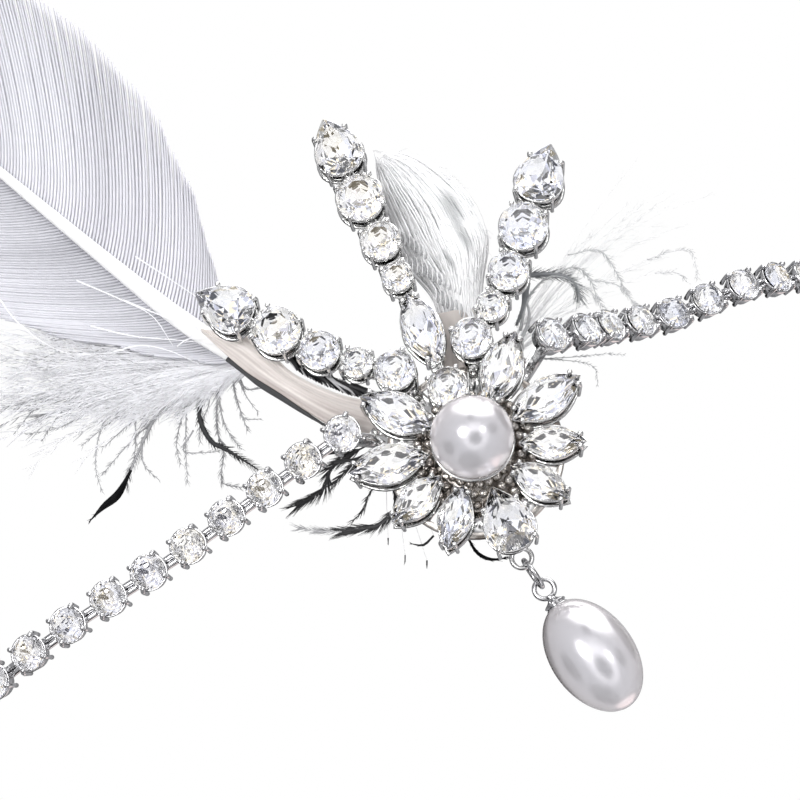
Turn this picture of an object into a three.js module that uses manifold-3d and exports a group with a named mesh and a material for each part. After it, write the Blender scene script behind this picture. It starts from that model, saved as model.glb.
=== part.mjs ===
// Flapper feather headband: a rhinestone medallion with three rays, a pearl and a hanging
// pearl drop, on a cup chain loop that goes round the head, with feathers behind the medallion.
// Millimetres, +Z up, the front looks along -Y. The origin is the middle of the loop, on the head.

import * as THREE from 'three';
import { mergeVertices } from 'three/addons/utils/BufferGeometryUtils.js';
import Module from 'manifold-3d';

const wasm = await Module();
wasm.setup();

// Medallion place and plate
const MEDALLION_X = 20;
const MEDALLION_FRONT = 92;
const MEDALLION_LEAN = 6;
const PLATE_RADIUS = 10.8;
const PLATE_THICKNESS = 0.6;
const PLATE_HOLE_RADIUS = 1.1;
const PLATE_HOLE_CIRCLE = 8.9;
const SPINE_WIDTH = 1.8;

// Settings and cut stones
const SETTING_HEIGHT = 2.0;
const SEAT_GAP = 0.25;
const STONE_SIDES = 10;
const PAVILION_SHARE = 0.18;
const CROWN_SHARE = 0.2;
const TABLE_SHARE = 0.6;
const CULET_SHARE = 0.55;
const BASKET_SHARE = 0.8;
const PRONG_RADIUS = 0.36;
const PRONG_CLEARANCE = 0.16;
const STONE_CLEARANCE = 0.1;
const PRONG_RISE = 0.6;
const PRONG_SIDES = 3;
const PRONG_FOOT_SHARE = 0.7;
const PRONG_TURNS = [0.22, 0.78, 1.22, 1.78];
const PEAR_FULLNESS = 0.77;

// Stone sizes: width and length of each stock size
const SIZES = {
  tiny: { cut: 'round', width: 3.8, length: 3.8 },
  small: { cut: 'round', width: 4.9, length: 4.9 },
  large: { cut: 'round', width: 6.0, length: 6.0 },
  longPetal: { cut: 'marquise', width: 4.9, length: 9.8 },
  shortPetal: { cut: 'marquise', width: 4.1, length: 8.0 },
  pear: { cut: 'pear', width: 6.1, length: 7.7 },
  lowPear: { cut: 'pear', width: 6.2, length: 8.2 },
};

// Petals round the pearl: angle clockwise from the top, and distance of the middle from the centre
const PETALS = [
  { name: 'petal_upper_left', size: 'longPetal', angle: -42.5, reach: 10.1 },
  { name: 'petal_upper_right', size: 'longPetal', angle: 42.5, reach: 10.1 },
  { name: 'petal_side_left', size: 'longPetal', angle: -79.4, reach: 10.4 },
  { name: 'petal_side_right', size: 'longPetal', angle: 79.4, reach: 10.4 },
  { name: 'petal_low_left', size: 'shortPetal', angle: -111.3, reach: 9.4 },
  { name: 'petal_low_right', size: 'shortPetal', angle: 111.3, reach: 9.4 },
  { name: 'petal_bottom_left', size: 'shortPetal', angle: -143.2, reach: 9.1 },
  { name: 'petal_bottom_right', size: 'shortPetal', angle: 143.2, reach: 9.1 },
  { name: 'petal_pear', size: 'lowPear', angle: 180, reach: 9.8, tipInward: true },
];

// Rays: the first stone's place, then each next stone in the heading given, end to end
const CENTRE_RAY = {
  start: { x: 0, y: 7.9 },
  gap: 0.7,
  stones: [
    { size: 'small', heading: 0 },
    { size: 'longPetal', heading: 0 },
    { size: 'tiny', heading: -1.5 },
    { size: 'small', heading: -1.5 },
    { size: 'large', heading: -1.5 },
    { size: 'pear', heading: -1.5 },
  ],
};
const SIDE_RAY = {
  start: { x: 5.0, y: 12.5 },
  gap: 0.45,
  stones: [
    { size: 'small', heading: 0 },
    { size: 'tiny', heading: 54 },
    { size: 'small', heading: 48 },
    { size: 'large', heading: 41 },
    { size: 'pear', heading: 41 },
  ],
};

// Pearl and drop
const PEARL_RADIUS = 5.0;
const PEARL_HEIGHT = 6.6;
const PEARL_PEG_RADIUS = 2.4;
const PEARL_GAP = 0.3;
const LOOP_RADIUS = 1.2;
const LOOP_WIRE = 0.3;
const LOOP_OVERLAP = 0.9;
const RING_RADIUS = 1.9;
const RING_WIRE = 0.3;
const RING_ROOM_DEPTH = 0.25;
const WIRE_CLEARANCE = 0.2;
const DROP_SWING = 6.2;
const CAP_RADIUS = 1.35;
const CAP_HEIGHT = 1.75;
const CAP_GAP = 0.15;
const CAP_PEARL_SHARE = 0.65;
const DROP_WIDTH = 9.9;
const DROP_LENGTH = 14.7;

// The turned cap from its top down: shares of its height and of its radius
const CAP_PROFILE = [
  { down: 0, radius: 0.4 },
  { down: 0.3, radius: 0.45 },
  { down: 0.6, radius: 0.8 },
  { down: 0.75, radius: 1 },
  { down: 1, radius: 1 },
];

// Cup chain
const CHAIN_PITCH = 5.75;
const CUP_SIDES = 8;
const CUP_RADIUS = 2.3;
const CUP_BASE_RADIUS = 1.8;
const CUP_HEIGHT = 2.1;
const CUP_TABLE_RADIUS = 1.3;
const CUP_TABLE_HEIGHT = 2.95;
const LINK_WIDTH = 1.0;
const LINK_LOW = 0.1;
const LINK_HIGH = 0.65;
const CHAIN_SEATS = { left: { x: -13.5, y: 7.9 }, right: { x: 13.0, y: 9.1 } };
const CHAIN_SEAT_GAP = 0.3;

// The chosen way of the chain round the head, from the medallion to the clasp at the back
const ROUTE_LEFT = [
  { x: 1.2, y: -91.2, z: 8.9 },
  { x: -15.3, y: -88.8, z: 7.2 },
  { x: -39, y: -85.4, z: 5.8 },
  { x: -60, y: -75, z: 3 },
  { x: -75, y: -57, z: -2 },
  { x: -83, y: -32, z: -9 },
  { x: -85, y: -4, z: -17 },
  { x: -81, y: 28, z: -26 },
  { x: -68, y: 60, z: -35.5 },
  { x: -45, y: 84, z: -43.5 },
  { x: -20, y: 94.5, z: -47.5 },
];
const ROUTE_RIGHT = [
  { x: 38.3, y: -88.4, z: 7.3 },
  { x: 41.4, y: -84.2, z: 7.6 },
  { x: 50.6, y: -77.2, z: 6.9 },
  { x: 62.4, y: -71.7, z: 7 },
  { x: 74, y: -61.5, z: 5 },
  { x: 82, y: -43, z: -1 },
  { x: 86, y: -18, z: -9 },
  { x: 85.5, y: 8, z: -18 },
  { x: 80, y: 36, z: -29 },
  { x: 67, y: 63, z: -39.5 },
  { x: 45, y: 84, z: -45.5 },
  { x: 20, y: 94.5, z: -48 },
];
const CLASP_PLACE = { x: 0, y: 97, z: -48 };
const CLASP_LENGTH = 11;
const CLASP_WIDTH = 4.4;
const CLASP_THICKNESS = 2.6;
const CLASP_GAP = 0.3;

// Feathers: roots, headings clockwise from the top, and depths behind the plate's front
const FEATHER_LENGTH = 125;
const FEATHER_HALF_WIDTH = 22;
const FEATHER_DEPTH = 3.8;
const QUILL_RADIUS = 1.1;
const QUILL_TIP_SHARE = 0.35;
const VANE_THICKNESS = 0.9;
const VANE_CUP = 3.2;
const FEATHER_LEAN_BACK = 7;
const STRAP_WIDTH = 2.4;
const STRAP_THICKNESS = 0.7;
const STRAP_GAP = 0.4;
const STRAP_SHARE = 0.075;

// The big feather's spine: its start, its heading at the quill and how that turns as it rises
const SPINE_START = { x: -1.5, y: 2.5 };
const SPINE_STEPS = 40;
const QUILL_HEADING = -40;
const QUILL_TURN = 17.5;
const QUILL_BEND_SHARE = 0.34;
const VANE_TURN = 5;
const CREAM_START = 0.02;
const CREAM_SHARE = 0.25;

const FEATHER_SECTIONS = [
  { along: 0, left: 0.04, right: 0.04 },
  { along: 0.14, left: 0.05, right: 0.05 },
  { along: 0.22, left: 0.06, right: 0.07 },
  { along: 0.27, left: 0.14, right: 0.17 },
  { along: 0.33, left: 0.31, right: 0.4 },
  { along: 0.41, left: 0.54, right: 0.68 },
  { along: 0.51, left: 0.76, right: 0.91 },
  { along: 0.63, left: 0.87, right: 1 },
  { along: 0.75, left: 0.85, right: 0.97 },
  { along: 0.86, left: 0.68, right: 0.8 },
  { along: 0.94, left: 0.45, right: 0.54 },
  { along: 0.985, left: 0.2, right: 0.25 },
  { along: 1, left: 0.04, right: 0.04 },
];
const CREAM_SECTIONS = [
  { along: 0, left: 0.06, right: 0.06 },
  { along: 0.25, left: 0.09, right: 0.08 },
  { along: 0.5, left: 0.14, right: 0.1 },
  { along: 0.75, left: 0.16, right: 0.1 },
  { along: 0.92, left: 0.1, right: 0.07 },
  { along: 1, left: 0.03, right: 0.03 },
];
const LOCK_STEPS = 30;
const PLUME_HEAD_SHARE = 0.72;
const LOCK_SECTIONS = [
  { along: 0, width: 0.25 },
  { along: 0.25, width: 0.8 },
  { along: 0.55, width: 1 },
  { along: 0.85, width: 0.6 },
  { along: 1, width: 0.08 },
];

// Each plume's locks: heading and turn in degrees, reach and width as shares of its own length
const PLUMES = [
  {
    name: 'down_tuft',
    root: { x: -17.5, y: 22.5 },
    depth: 6.4,
    length: 29,
    thickness: 2.2,
    leanBack: 0.02,
    colour: 0xe9e9ee,
    locks: [
      { heading: -38, turn: -18, reach: 0.95, width: 0.11 },
      { heading: -56, turn: -16, reach: 1, width: 0.12 },
      { heading: -72, turn: -16, reach: 1, width: 0.12 },
      { heading: -90, turn: -14, reach: 0.86, width: 0.11 },
      { heading: -108, turn: -12, reach: 0.66, width: 0.1 },
      { heading: -130, turn: -14, reach: 0.42, width: 0.09 },
    ],
  },
  {
    name: 'curled_plume',
    root: { x: 4.6, y: 9.5 },
    depth: 2.1,
    length: 34,
    thickness: 1.6,
    leanBack: 0.03,
    colour: 0xf1f1f3,
    locks: [
      { heading: 12, turn: -16, reach: 0.62, width: 0.1 },
      { heading: 26, turn: -34, reach: 0.86, width: 0.12 },
      { heading: 38, turn: -74, reach: 1.04, width: 0.11 },
    ],
  },
  {
    name: 'right_plume',
    root: { x: 9, y: 9.2 },
    depth: 1.9,
    length: 39,
    thickness: 1.4,
    leanBack: 0.05,
    colour: 0xf4f4f6,
    locks: [
      { heading: 52, turn: 46, reach: 1, width: 0.06 },
      { heading: 44, turn: 30, reach: 0.62, width: 0.06 },
      { heading: 66, turn: 22, reach: 0.5, width: 0.05 },
    ],
  },
  {
    name: 'dark_plume',
    root: { x: -6.9, y: 9.0 },
    depth: 7.2,
    length: 38,
    thickness: 1.2,
    leanBack: 0.13,
    colour: 0x26262a,
    locks: [
      { heading: -58, turn: -28, reach: 1.05, width: 0.03 },
      { heading: -74, turn: -30, reach: 0.62, width: 0.035 },
      { heading: -98, turn: 6, reach: 0.5, width: 0.035 },
      { heading: -120, turn: 28, reach: 0.46, width: 0.04 },
      { heading: -150, turn: -26, reach: 0.52, width: 0.03 },
    ],
  },
];

const silver = new THREE.MeshStandardMaterial({ color: 0xc9cacd, roughness: 0.25, metalness: 1 });
const crystal = new THREE.MeshStandardMaterial({ color: 0xeef3f8, roughness: 0.05, metalness: 0.1 });
const pearl = new THREE.MeshStandardMaterial({ color: 0xe6e3ea, roughness: 0.2, metalness: 0 });
const vane = new THREE.MeshStandardMaterial({ color: 0xc4c4d2, roughness: 0.8, metalness: 0 });
const cream = new THREE.MeshStandardMaterial({ color: 0xe9e0da, roughness: 0.6, metalness: 0 });

const radians = THREE.MathUtils.degToRad;

// A heading is turned clockwise from straight up
function headingVector(degrees) {
  return new THREE.Vector3(Math.sin(radians(degrees)), Math.cos(radians(degrees)), 0);
}

function solidOf(geometry) {
  const bare = geometry.clone();
  bare.deleteAttribute('normal');
  bare.deleteAttribute('uv');
  const merged = mergeVertices(bare, 1e-4);
  const mesh = new wasm.Mesh({
    numProp: 3,
    vertProperties: new Float32Array(merged.attributes.position.array),
    triVerts: new Uint32Array(merged.index.array),
  });
  return new wasm.Manifold(mesh);
}

function geometryOf(solid) {
  const mesh = solid.getMesh();
  const geometry = new THREE.BufferGeometry();
  geometry.setAttribute('position', new THREE.BufferAttribute(new Float32Array(mesh.vertProperties), 3));
  geometry.setIndex(new THREE.BufferAttribute(new Uint32Array(mesh.triVerts), 1));
  geometry.computeVertexNormals();
  return geometry;
}

function join(geometries) {
  return geometryOf(wasm.Manifold.union(geometries.map(solidOf)));
}

// A closed skin over rings of equal count, each ring seen counter-clockwise from the far end
function loft(rings) {
  const count = rings[0].length;
  const last = (rings.length - 1) * count;
  const index = [];
  for (let ring = 0; ring < rings.length - 1; ring += 1) {
    for (let side = 0; side < count; side += 1) {
      const a = ring * count + side;
      const b = ring * count + ((side + 1) % count);
      index.push(a, b, b + count);
      index.push(a, b + count, a + count);
    }
  }
  for (let side = 1; side < count - 1; side += 1) {
    index.push(0, side + 1, side);
    index.push(last, last + side, last + side + 1);
  }
  const geometry = new THREE.BufferGeometry();
  geometry.setFromPoints(rings.flat());
  geometry.setIndex(index);
  return geometry;
}

// A point of a stone's outline: the pear's and the marquise's tips look along +Y
function outlinePoint(size, angle, widen = 0) {
  const halfWidth = size.width / 2 + widen;
  const halfLength = size.length / 2 + widen;
  const sine = Math.sin(angle);
  const shapes = {
    round: sine,
    marquise: sine * Math.abs(sine),
    pear: (sine * Math.abs(Math.sin(angle / 2))) / PEAR_FULLNESS,
  };
  return new THREE.Vector3(-halfWidth * shapes[size.cut], halfLength * Math.cos(angle), 0);
}

function outline(size, scale, height, widen = 0) {
  return Array.from({ length: STONE_SIDES }, (_, side) => {
    const point = outlinePoint(size, (side / STONE_SIDES) * Math.PI * 2, widen);
    return point.multiplyScalar(scale).setZ(height);
  });
}

function stoneGeometry(size, widen = 0) {
  const girdle = size.width * PAVILION_SHARE;
  return loft([
    outline(size, CULET_SHARE, -widen, widen),
    outline(size, 1, girdle, widen),
    outline(size, TABLE_SHARE, girdle + size.width * CROWN_SHARE + widen, widen),
  ]);
}

// A point beside the outline, at a distance square to the stone's edge
function besideOutline(size, angle, distance) {
  const small = 0.01;
  const point = outlinePoint(size, angle);
  const edge = outlinePoint(size, angle + small).sub(outlinePoint(size, angle - small));
  const normal = new THREE.Vector3(edge.y, -edge.x, 0).normalize();
  return point.addScaledVector(normal, distance);
}

// The places of all stones of the medallion, each with the way its tip looks
function petalPlaces() {
  return PETALS.map((petal) => {
    const place = headingVector(petal.angle).multiplyScalar(petal.reach);
    const turn = petal.tipInward ? petal.angle + 180 : petal.angle;
    return { name: petal.name, size: SIZES[petal.size], x: place.x, y: place.y, heading: turn };
  });
}

function rayPlaces(ray, name, side) {
  const place = new THREE.Vector3(ray.start.x * side, ray.start.y, 0);
  return ray.stones.map((stone, number) => {
    const size = SIZES[stone.size];
    if (number > 0) {
      const before = SIZES[ray.stones[number - 1].size];
      const step = (before.length + size.length) / 2 + ray.gap;
      place.addScaledVector(headingVector(stone.heading * side), step);
    }
    return { name: `${name}_${number + 1}`, size, x: place.x, y: place.y, heading: stone.heading * side };
  });
}

function stonePlaces() {
  return [
    ...petalPlaces(),
    ...rayPlaces(CENTRE_RAY, 'ray_centre', 1),
    ...rayPlaces(SIDE_RAY, 'ray_left', -1),
    ...rayPlaces(SIDE_RAY, 'ray_right', 1),
  ];
}

// The setting below one stone: a basket on a base that carries four prongs, in the stone's own place
function settingGeometries(place) {
  const size = place.size;
  const basket = loft([
    outline(size, 1, -PLATE_THICKNESS, PRONG_CLEARANCE + PRONG_RADIUS * 2),
    outline(size, BASKET_SHARE, SETTING_HEIGHT),
  ]);
  const girdle = SETTING_HEIGHT + SEAT_GAP + size.width * PAVILION_SHARE;
  const prongHeight = girdle + PRONG_RISE;
  const foot = -PLATE_THICKNESS * PRONG_FOOT_SHARE;
  const prongs = PRONG_TURNS.map((turn) => {
    const point = besideOutline(size, turn * Math.PI, PRONG_CLEARANCE + PRONG_RADIUS);
    const profile = [
      new THREE.Vector2(0, foot),
      new THREE.Vector2(PRONG_RADIUS, foot),
      new THREE.Vector2(PRONG_RADIUS, prongHeight - PRONG_RADIUS),
      new THREE.Vector2(0, prongHeight),
    ];
    const prong = new THREE.LatheGeometry(profile, PRONG_SIDES);
    prong.rotateX(Math.PI / 2);
    return prong.translate(point.x, point.y, 0);
  });
  const pieces = [basket, ...prongs];
  pieces.forEach((piece) => {
    piece.rotateZ(-radians(place.heading));
    piece.translate(place.x, place.y, 0);
  });
  return pieces;
}

function barGeometry(from, to, width, low, high) {
  const length = Math.hypot(to.x - from.x, to.y - from.y);
  const bar = new THREE.BoxGeometry(length, width, high - low);
  bar.rotateZ(Math.atan2(to.y - from.y, to.x - from.x));
  bar.translate((from.x + to.x) / 2, (from.y + to.y) / 2, (low + high) / 2);
  return bar;
}

function discGeometry(radius, low, high, sides) {
  const disc = new THREE.CylinderGeometry(radius, radius, high - low, sides);
  disc.rotateX(Math.PI / 2);
  disc.translate(0, 0, (low + high) / 2);
  return disc;
}

// The low end of the pear below the pearl
function pearEnd() {
  const pear = PETALS.find((petal) => petal.name === 'petal_pear');
  return pear.reach + SIZES[pear.size].length / 2;
}

// The hanging loop at the pear's low end, in the plate's plane
function loopCentre() {
  return new THREE.Vector3(0, -(pearEnd() + LOOP_RADIUS - LOOP_OVERLAP), -PLATE_THICKNESS / 2);
}

// The space that the swinging ring needs in the pear's basket
function ringRoom() {
  const width = (RING_WIRE + WIRE_CLEARANCE) * 4;
  const room = new THREE.BoxGeometry(width, LOOP_RADIUS * 4, SETTING_HEIGHT * 4);
  return room.translate(0, -(pearEnd() - RING_ROOM_DEPTH + LOOP_RADIUS * 2), 0);
}

// The quills cross under a plain strap behind the plate. The feathers don't lean with the plate
function strapGeometries() {
  const middle = featherPoint(STRAP_SHARE);
  const half = QUILL_RADIUS + STRAP_GAP + PRONG_RADIUS;
  const low = -(FEATHER_DEPTH + QUILL_RADIUS + STRAP_GAP + STRAP_THICKNESS);
  const across = headingVector(featherHeading(STRAP_SHARE) + 90);
  const ends = [-1, 1].map((side) => middle.clone().addScaledVector(across, side * (half + STRAP_THICKNESS)));
  const bar = barGeometry(ends[0], ends[1], STRAP_WIDTH, low, low + STRAP_THICKNESS);
  const legs = [-1, 1].map((side) => {
    const outer = middle.clone().addScaledVector(across, side * (half + STRAP_THICKNESS));
    const inner = middle.clone().addScaledVector(across, side * half);
    return barGeometry(inner, outer, STRAP_WIDTH, low, 0);
  });
  return [bar, ...legs].map((piece) => piece.rotateZ(radians(MEDALLION_LEAN)));
}

function medallionFrame(places) {
  const plate = discGeometry(PLATE_RADIUS, -PLATE_THICKNESS, 0, 24);
  const peg = discGeometry(PEARL_PEG_RADIUS, -PLATE_THICKNESS, PEARL_HEIGHT - PEARL_RADIUS - PEARL_GAP, 12);
  const spines = ['ray_centre', 'ray_left', 'ray_right'].flatMap((name) => {
    const stones = places.filter((place) => place.name.startsWith(name));
    const stops = [{ x: 0, y: 0 }, ...stones];
    return stones.map((stone, number) => barGeometry(stops[number], stone, SPINE_WIDTH, -PLATE_THICKNESS, 0));
  });
  const arms = Object.values(CHAIN_SEATS).map((seat) => (
    barGeometry({ x: 0, y: 0 }, seat, SPINE_WIDTH, -PLATE_THICKNESS, 0)
  ));
  const loop = new THREE.TorusGeometry(LOOP_RADIUS, LOOP_WIRE, 5, 10);
  const centre = loopCentre();
  loop.translate(centre.x, centre.y, centre.z);
  const holes = PETALS.map((petal, number) => {
    const between = headingVector(petalGapAngle(number)).multiplyScalar(PLATE_HOLE_CIRCLE);
    const hole = discGeometry(PLATE_HOLE_RADIUS, -PLATE_THICKNESS * 2, PLATE_THICKNESS, 8);
    hole.translate(between.x, between.y, 0);
    return hole;
  });
  const pierced = solidOf(plate).subtract(wasm.Manifold.union(holes.map(solidOf)));
  const settings = wasm.Manifold.union(places.flatMap(settingGeometries).map(solidOf)).subtract(solidOf(ringRoom()));
  const soldered = [peg, ...spines, ...arms, loop, ...strapGeometries()];
  const room = places.map((place) => {
    const stone = stoneGeometry(place.size, STONE_CLEARANCE);
    stone.rotateZ(-radians(place.heading));
    return stone.translate(place.x, place.y, SETTING_HEIGHT + SEAT_GAP);
  });
  const whole = pierced.add(settings).add(wasm.Manifold.union(soldered.map(solidOf)));
  return geometryOf(whole.subtract(wasm.Manifold.union(room.map(solidOf))));
}

// The middle of the space after a petal, going round in order of angle
function petalGapAngle(number) {
  const angles = PETALS.map((petal) => petal.angle).sort((a, b) => a - b);
  const next = number + 1 < angles.length ? angles[number + 1] : angles[0] + 360;
  return (angles[number] + next) / 2;
}

// The big feather's spine: it leaves the medallion to the left and straightens as it rises
function featherHeading(share) {
  const bend = Math.min(1, share / QUILL_BEND_SHARE);
  return QUILL_HEADING + QUILL_TURN * bend * bend + VANE_TURN * share;
}

function featherPoint(share) {
  const point = new THREE.Vector3(SPINE_START.x, SPINE_START.y, 0);
  for (let step = 0; step < SPINE_STEPS; step += 1) {
    const heading = featherHeading(((step + 0.5) / SPINE_STEPS) * share);
    point.addScaledVector(headingVector(heading), (FEATHER_LENGTH * share) / SPINE_STEPS);
  }
  return point;
}

// A feather: a rounded quill with a thin vane on each side, cupped away from the front
function featherGeometry(sections, spine) {
  const rings = sections.map((section) => {
    const centre = spine.point(section.along);
    const across = headingVector(spine.heading(section.along) + 90);
    const quill = spine.quill * (1 - (1 - QUILL_TIP_SHARE) * section.along);
    const depth = spine.depth + spine.leanBack * section.along ** 2;
    const place = (share, thick) => {
      const sideways = share * (share < 0 ? section.left : section.right) * FEATHER_HALF_WIDTH;
      const cupped = VANE_CUP * (sideways / FEATHER_HALF_WIDTH) ** 2;
      return centre.clone().addScaledVector(across, sideways).setZ(-(depth + cupped) + thick);
    };
    const vane = Math.min(VANE_THICKNESS / 2, quill);
    return [
      place(-1, 0),
      place(-0.5, vane),
      place(0, quill),
      place(0.5, vane),
      place(1, 0),
      place(0.5, -vane),
      place(0, -quill),
      place(-0.5, -vane),
    ];
  });
  return loft(rings);
}

function lockGeometry(plume, lock) {
  const reach = lock.reach * plume.length;
  const point = new THREE.Vector3(plume.root.x, plume.root.y, 0);
  const rings = [];
  let walked = 0;
  LOCK_SECTIONS.forEach((section) => {
    while (walked < section.along * LOCK_STEPS) {
      const heading = lock.heading + lock.turn * ((walked + 0.5) / LOCK_STEPS);
      point.addScaledVector(headingVector(heading), reach / LOCK_STEPS);
      walked += 1;
    }
    const across = headingVector(lock.heading + lock.turn * section.along + 90);
    const half = lock.width * plume.length * section.width;
    const thick = Math.min(half, plume.thickness / 2);
    const depth = plume.depth + plume.leanBack * reach * section.along;
    rings.push([
      point.clone().addScaledVector(across, -half).setZ(-depth),
      point.clone().setZ(-depth + thick),
      point.clone().addScaledVector(across, half).setZ(-depth),
      point.clone().setZ(-depth - thick),
    ]);
  });
  return loft(rings);
}

function plumeGeometry(plume) {
  const head = new THREE.SphereGeometry(plume.thickness * PLUME_HEAD_SHARE, 8, 5);
  head.translate(plume.root.x, plume.root.y, -plume.depth);
  return join([head, ...plume.locks.map((lock) => lockGeometry(plume, lock))]);
}

// One cup of the chain with its stone, its back on the route and its face looking out.
// A flat side looks each way along the chain, where the links come in
function cupGeometry() {
  const ring = (radius, height) => Array.from({ length: CUP_SIDES }, (_, side) => {
    const angle = ((side + 0.5) / CUP_SIDES) * Math.PI * 2;
    return new THREE.Vector3(radius * Math.cos(angle), radius * Math.sin(angle), height);
  });
  return loft([
    ring(CUP_BASE_RADIUS, 0),
    ring(CUP_RADIUS, CUP_HEIGHT),
    ring(CUP_TABLE_RADIUS, CUP_TABLE_HEIGHT),
  ]);
}

// A link between two cups: a ridge with its flat side to the head
function linkGeometry(length) {
  const ring = (x) => [
    new THREE.Vector3(x, -LINK_WIDTH / 2, LINK_LOW),
    new THREE.Vector3(x, LINK_WIDTH / 2, LINK_LOW),
    new THREE.Vector3(x, 0, LINK_HIGH),
  ];
  return loft([ring(-length / 2), ring(length / 2)]);
}

function outwardFrame(point, along) {
  const out = new THREE.Vector3(along.y, -along.x, 0).normalize();
  if (out.x * point.x + out.y * point.y < 0) {
    out.negate();
  }
  const up = new THREE.Vector3().crossVectors(out, along).normalize();
  const flat = new THREE.Vector3().crossVectors(up, out);
  return new THREE.Matrix4().makeBasis(flat, up, out).setPosition(point);
}

function chainGeometry(start, stops, end) {
  const points = [start, ...stops.map((stop) => new THREE.Vector3(stop.x, stop.y, stop.z)), end];
  const route = new THREE.CatmullRomCurve3(points, false, 'centripetal');
  route.arcLengthDivisions = 1200;
  const gaps = Math.round(route.getLength() / CHAIN_PITCH);
  const places = Array.from({ length: gaps + 1 }, (_, number) => route.getPointAt(number / gaps));
  const cups = places.map((place, number) => {
    const along = route.getTangentAt(number / gaps);
    return cupGeometry().applyMatrix4(outwardFrame(place, along));
  });
  const links = places.slice(1).map((place, number) => {
    const before = places[number];
    const middle = before.clone().lerp(place, 0.5);
    const along = place.clone().sub(before).normalize();
    return linkGeometry(place.distanceTo(before)).applyMatrix4(outwardFrame(middle, along));
  });
  return join([...cups, ...links]);
}

function claspGeometry() {
  const shape = new THREE.Shape();
  const half = CLASP_LENGTH / 2 - CLASP_WIDTH / 2;
  shape.absarc(half, 0, CLASP_WIDTH / 2, -Math.PI / 2, Math.PI / 2, false);
  shape.absarc(-half, 0, CLASP_WIDTH / 2, Math.PI / 2, Math.PI * 1.5, false);
  const clasp = new THREE.ExtrudeGeometry(shape, { depth: CLASP_THICKNESS, bevelEnabled: false, curveSegments: 5 });
  clasp.rotateX(Math.PI / 2);
  return clasp;
}

function mesh(name, geometry, material) {
  const piece = new THREE.Mesh(geometry, material);
  piece.name = name;
  return piece;
}

const headband = new THREE.Group();

// Everything in the medallion's own plane: X across, Y up, Z out to the front
const medallion = new THREE.Group();
medallion.position.set(MEDALLION_X, -MEDALLION_FRONT, 0);
medallion.rotation.set(Math.PI / 2, 0, -radians(MEDALLION_LEAN));
headband.add(medallion);

const places = stonePlaces();
medallion.add(mesh('medallion_frame', medallionFrame(places), silver));
places.forEach((place) => {
  const stone = mesh(place.name, stoneGeometry(place.size), crystal);
  stone.position.set(place.x, place.y, SETTING_HEIGHT + SEAT_GAP);
  stone.rotation.z = -radians(place.heading);
  medallion.add(stone);
});
const pearlBead = mesh('centre_pearl', new THREE.SphereGeometry(PEARL_RADIUS, 16, 10), pearl);
pearlBead.position.z = PEARL_HEIGHT;
medallion.add(pearlBead);

// The feathers stand behind the medallion, square to the head, so the plate's lean is left out
const feathers = new THREE.Group();
feathers.position.copy(medallion.position);
feathers.rotation.x = Math.PI / 2;
headband.add(feathers);

const bigSpine = {
  point: featherPoint,
  heading: featherHeading,
  quill: QUILL_RADIUS,
  depth: FEATHER_DEPTH,
  leanBack: FEATHER_LEAN_BACK,
};
feathers.add(mesh('large_feather', featherGeometry(FEATHER_SECTIONS, bigSpine), vane));
const creamSpine = {
  point: (share) => featherPoint(CREAM_START + CREAM_SHARE * share),
  heading: (share) => featherHeading(CREAM_START + CREAM_SHARE * share),
  quill: VANE_THICKNESS / 2,
  depth: PLATE_THICKNESS + SEAT_GAP + VANE_THICKNESS / 2,
  leanBack: 0,
};
feathers.add(mesh('cream_quill_web', featherGeometry(CREAM_SECTIONS, creamSpine), cream));
PLUMES.forEach((plume) => {
  const material = new THREE.MeshStandardMaterial({ color: plume.colour, roughness: 0.9, metalness: 0 });
  feathers.add(mesh(plume.name, plumeGeometry(plume), material));
});

// The ring and the drop hang in a group of their own below the loop, swung a little to the right.
// In it the ring turns about the origin, where it bears on the loop
medallion.updateMatrixWorld(true);
const hanging = new THREE.Group();
hanging.rotation.y = -radians(DROP_SWING);
const hangDirection = new THREE.Vector3(0, 0, -1).applyEuler(hanging.rotation);
hanging.position.copy(loopCentre().applyMatrix4(medallion.matrixWorld)).addScaledVector(hangDirection, LOOP_RADIUS);
headband.add(hanging);

const wirePlay = LOOP_WIRE + RING_WIRE + WIRE_CLEARANCE;
const ringCentreZ = wirePlay - RING_RADIUS;
const eyeCentreZ = ringCentreZ - RING_RADIUS + wirePlay - LOOP_RADIUS;
const capTopZ = eyeCentreZ - LOOP_RADIUS + LOOP_WIRE / 2;
const dropCentreZ = capTopZ - CAP_HEIGHT * CAP_PEARL_SHARE - CAP_GAP - DROP_LENGTH / 2;

const jumpRing = mesh('jump_ring', new THREE.TorusGeometry(RING_RADIUS, RING_WIRE, 5, 12), silver);
jumpRing.rotation.y = Math.PI / 2;
jumpRing.position.z = ringCentreZ;
hanging.add(jumpRing);

function dropPearlGeometry(widen) {
  const bead = new THREE.SphereGeometry(1, 13, 10);
  bead.rotateX(Math.PI / 2);
  bead.scale(DROP_WIDTH / 2 + widen, DROP_WIDTH / 2 + widen, DROP_LENGTH / 2 + widen);
  return bead.translate(0, 0, dropCentreZ);
}

function dropCapGeometry() {
  const eye = new THREE.TorusGeometry(LOOP_RADIUS, LOOP_WIRE, 5, 10);
  eye.rotateX(Math.PI / 2);
  eye.translate(0, 0, eyeCentreZ);
  const turned = CAP_PROFILE.map((step) => (
    new THREE.Vector2(step.radius * CAP_RADIUS, -step.down * CAP_HEIGHT)
  ));
  const profile = [new THREE.Vector2(0, -CAP_HEIGHT), ...turned.reverse(), new THREE.Vector2(0, 0)];
  const bell = new THREE.LatheGeometry(profile, 12);
  bell.rotateX(Math.PI / 2);
  bell.translate(0, 0, capTopZ);
  const hollow = solidOf(dropPearlGeometry(CAP_GAP));
  return geometryOf(solidOf(eye).add(solidOf(bell)).subtract(hollow));
}

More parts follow.
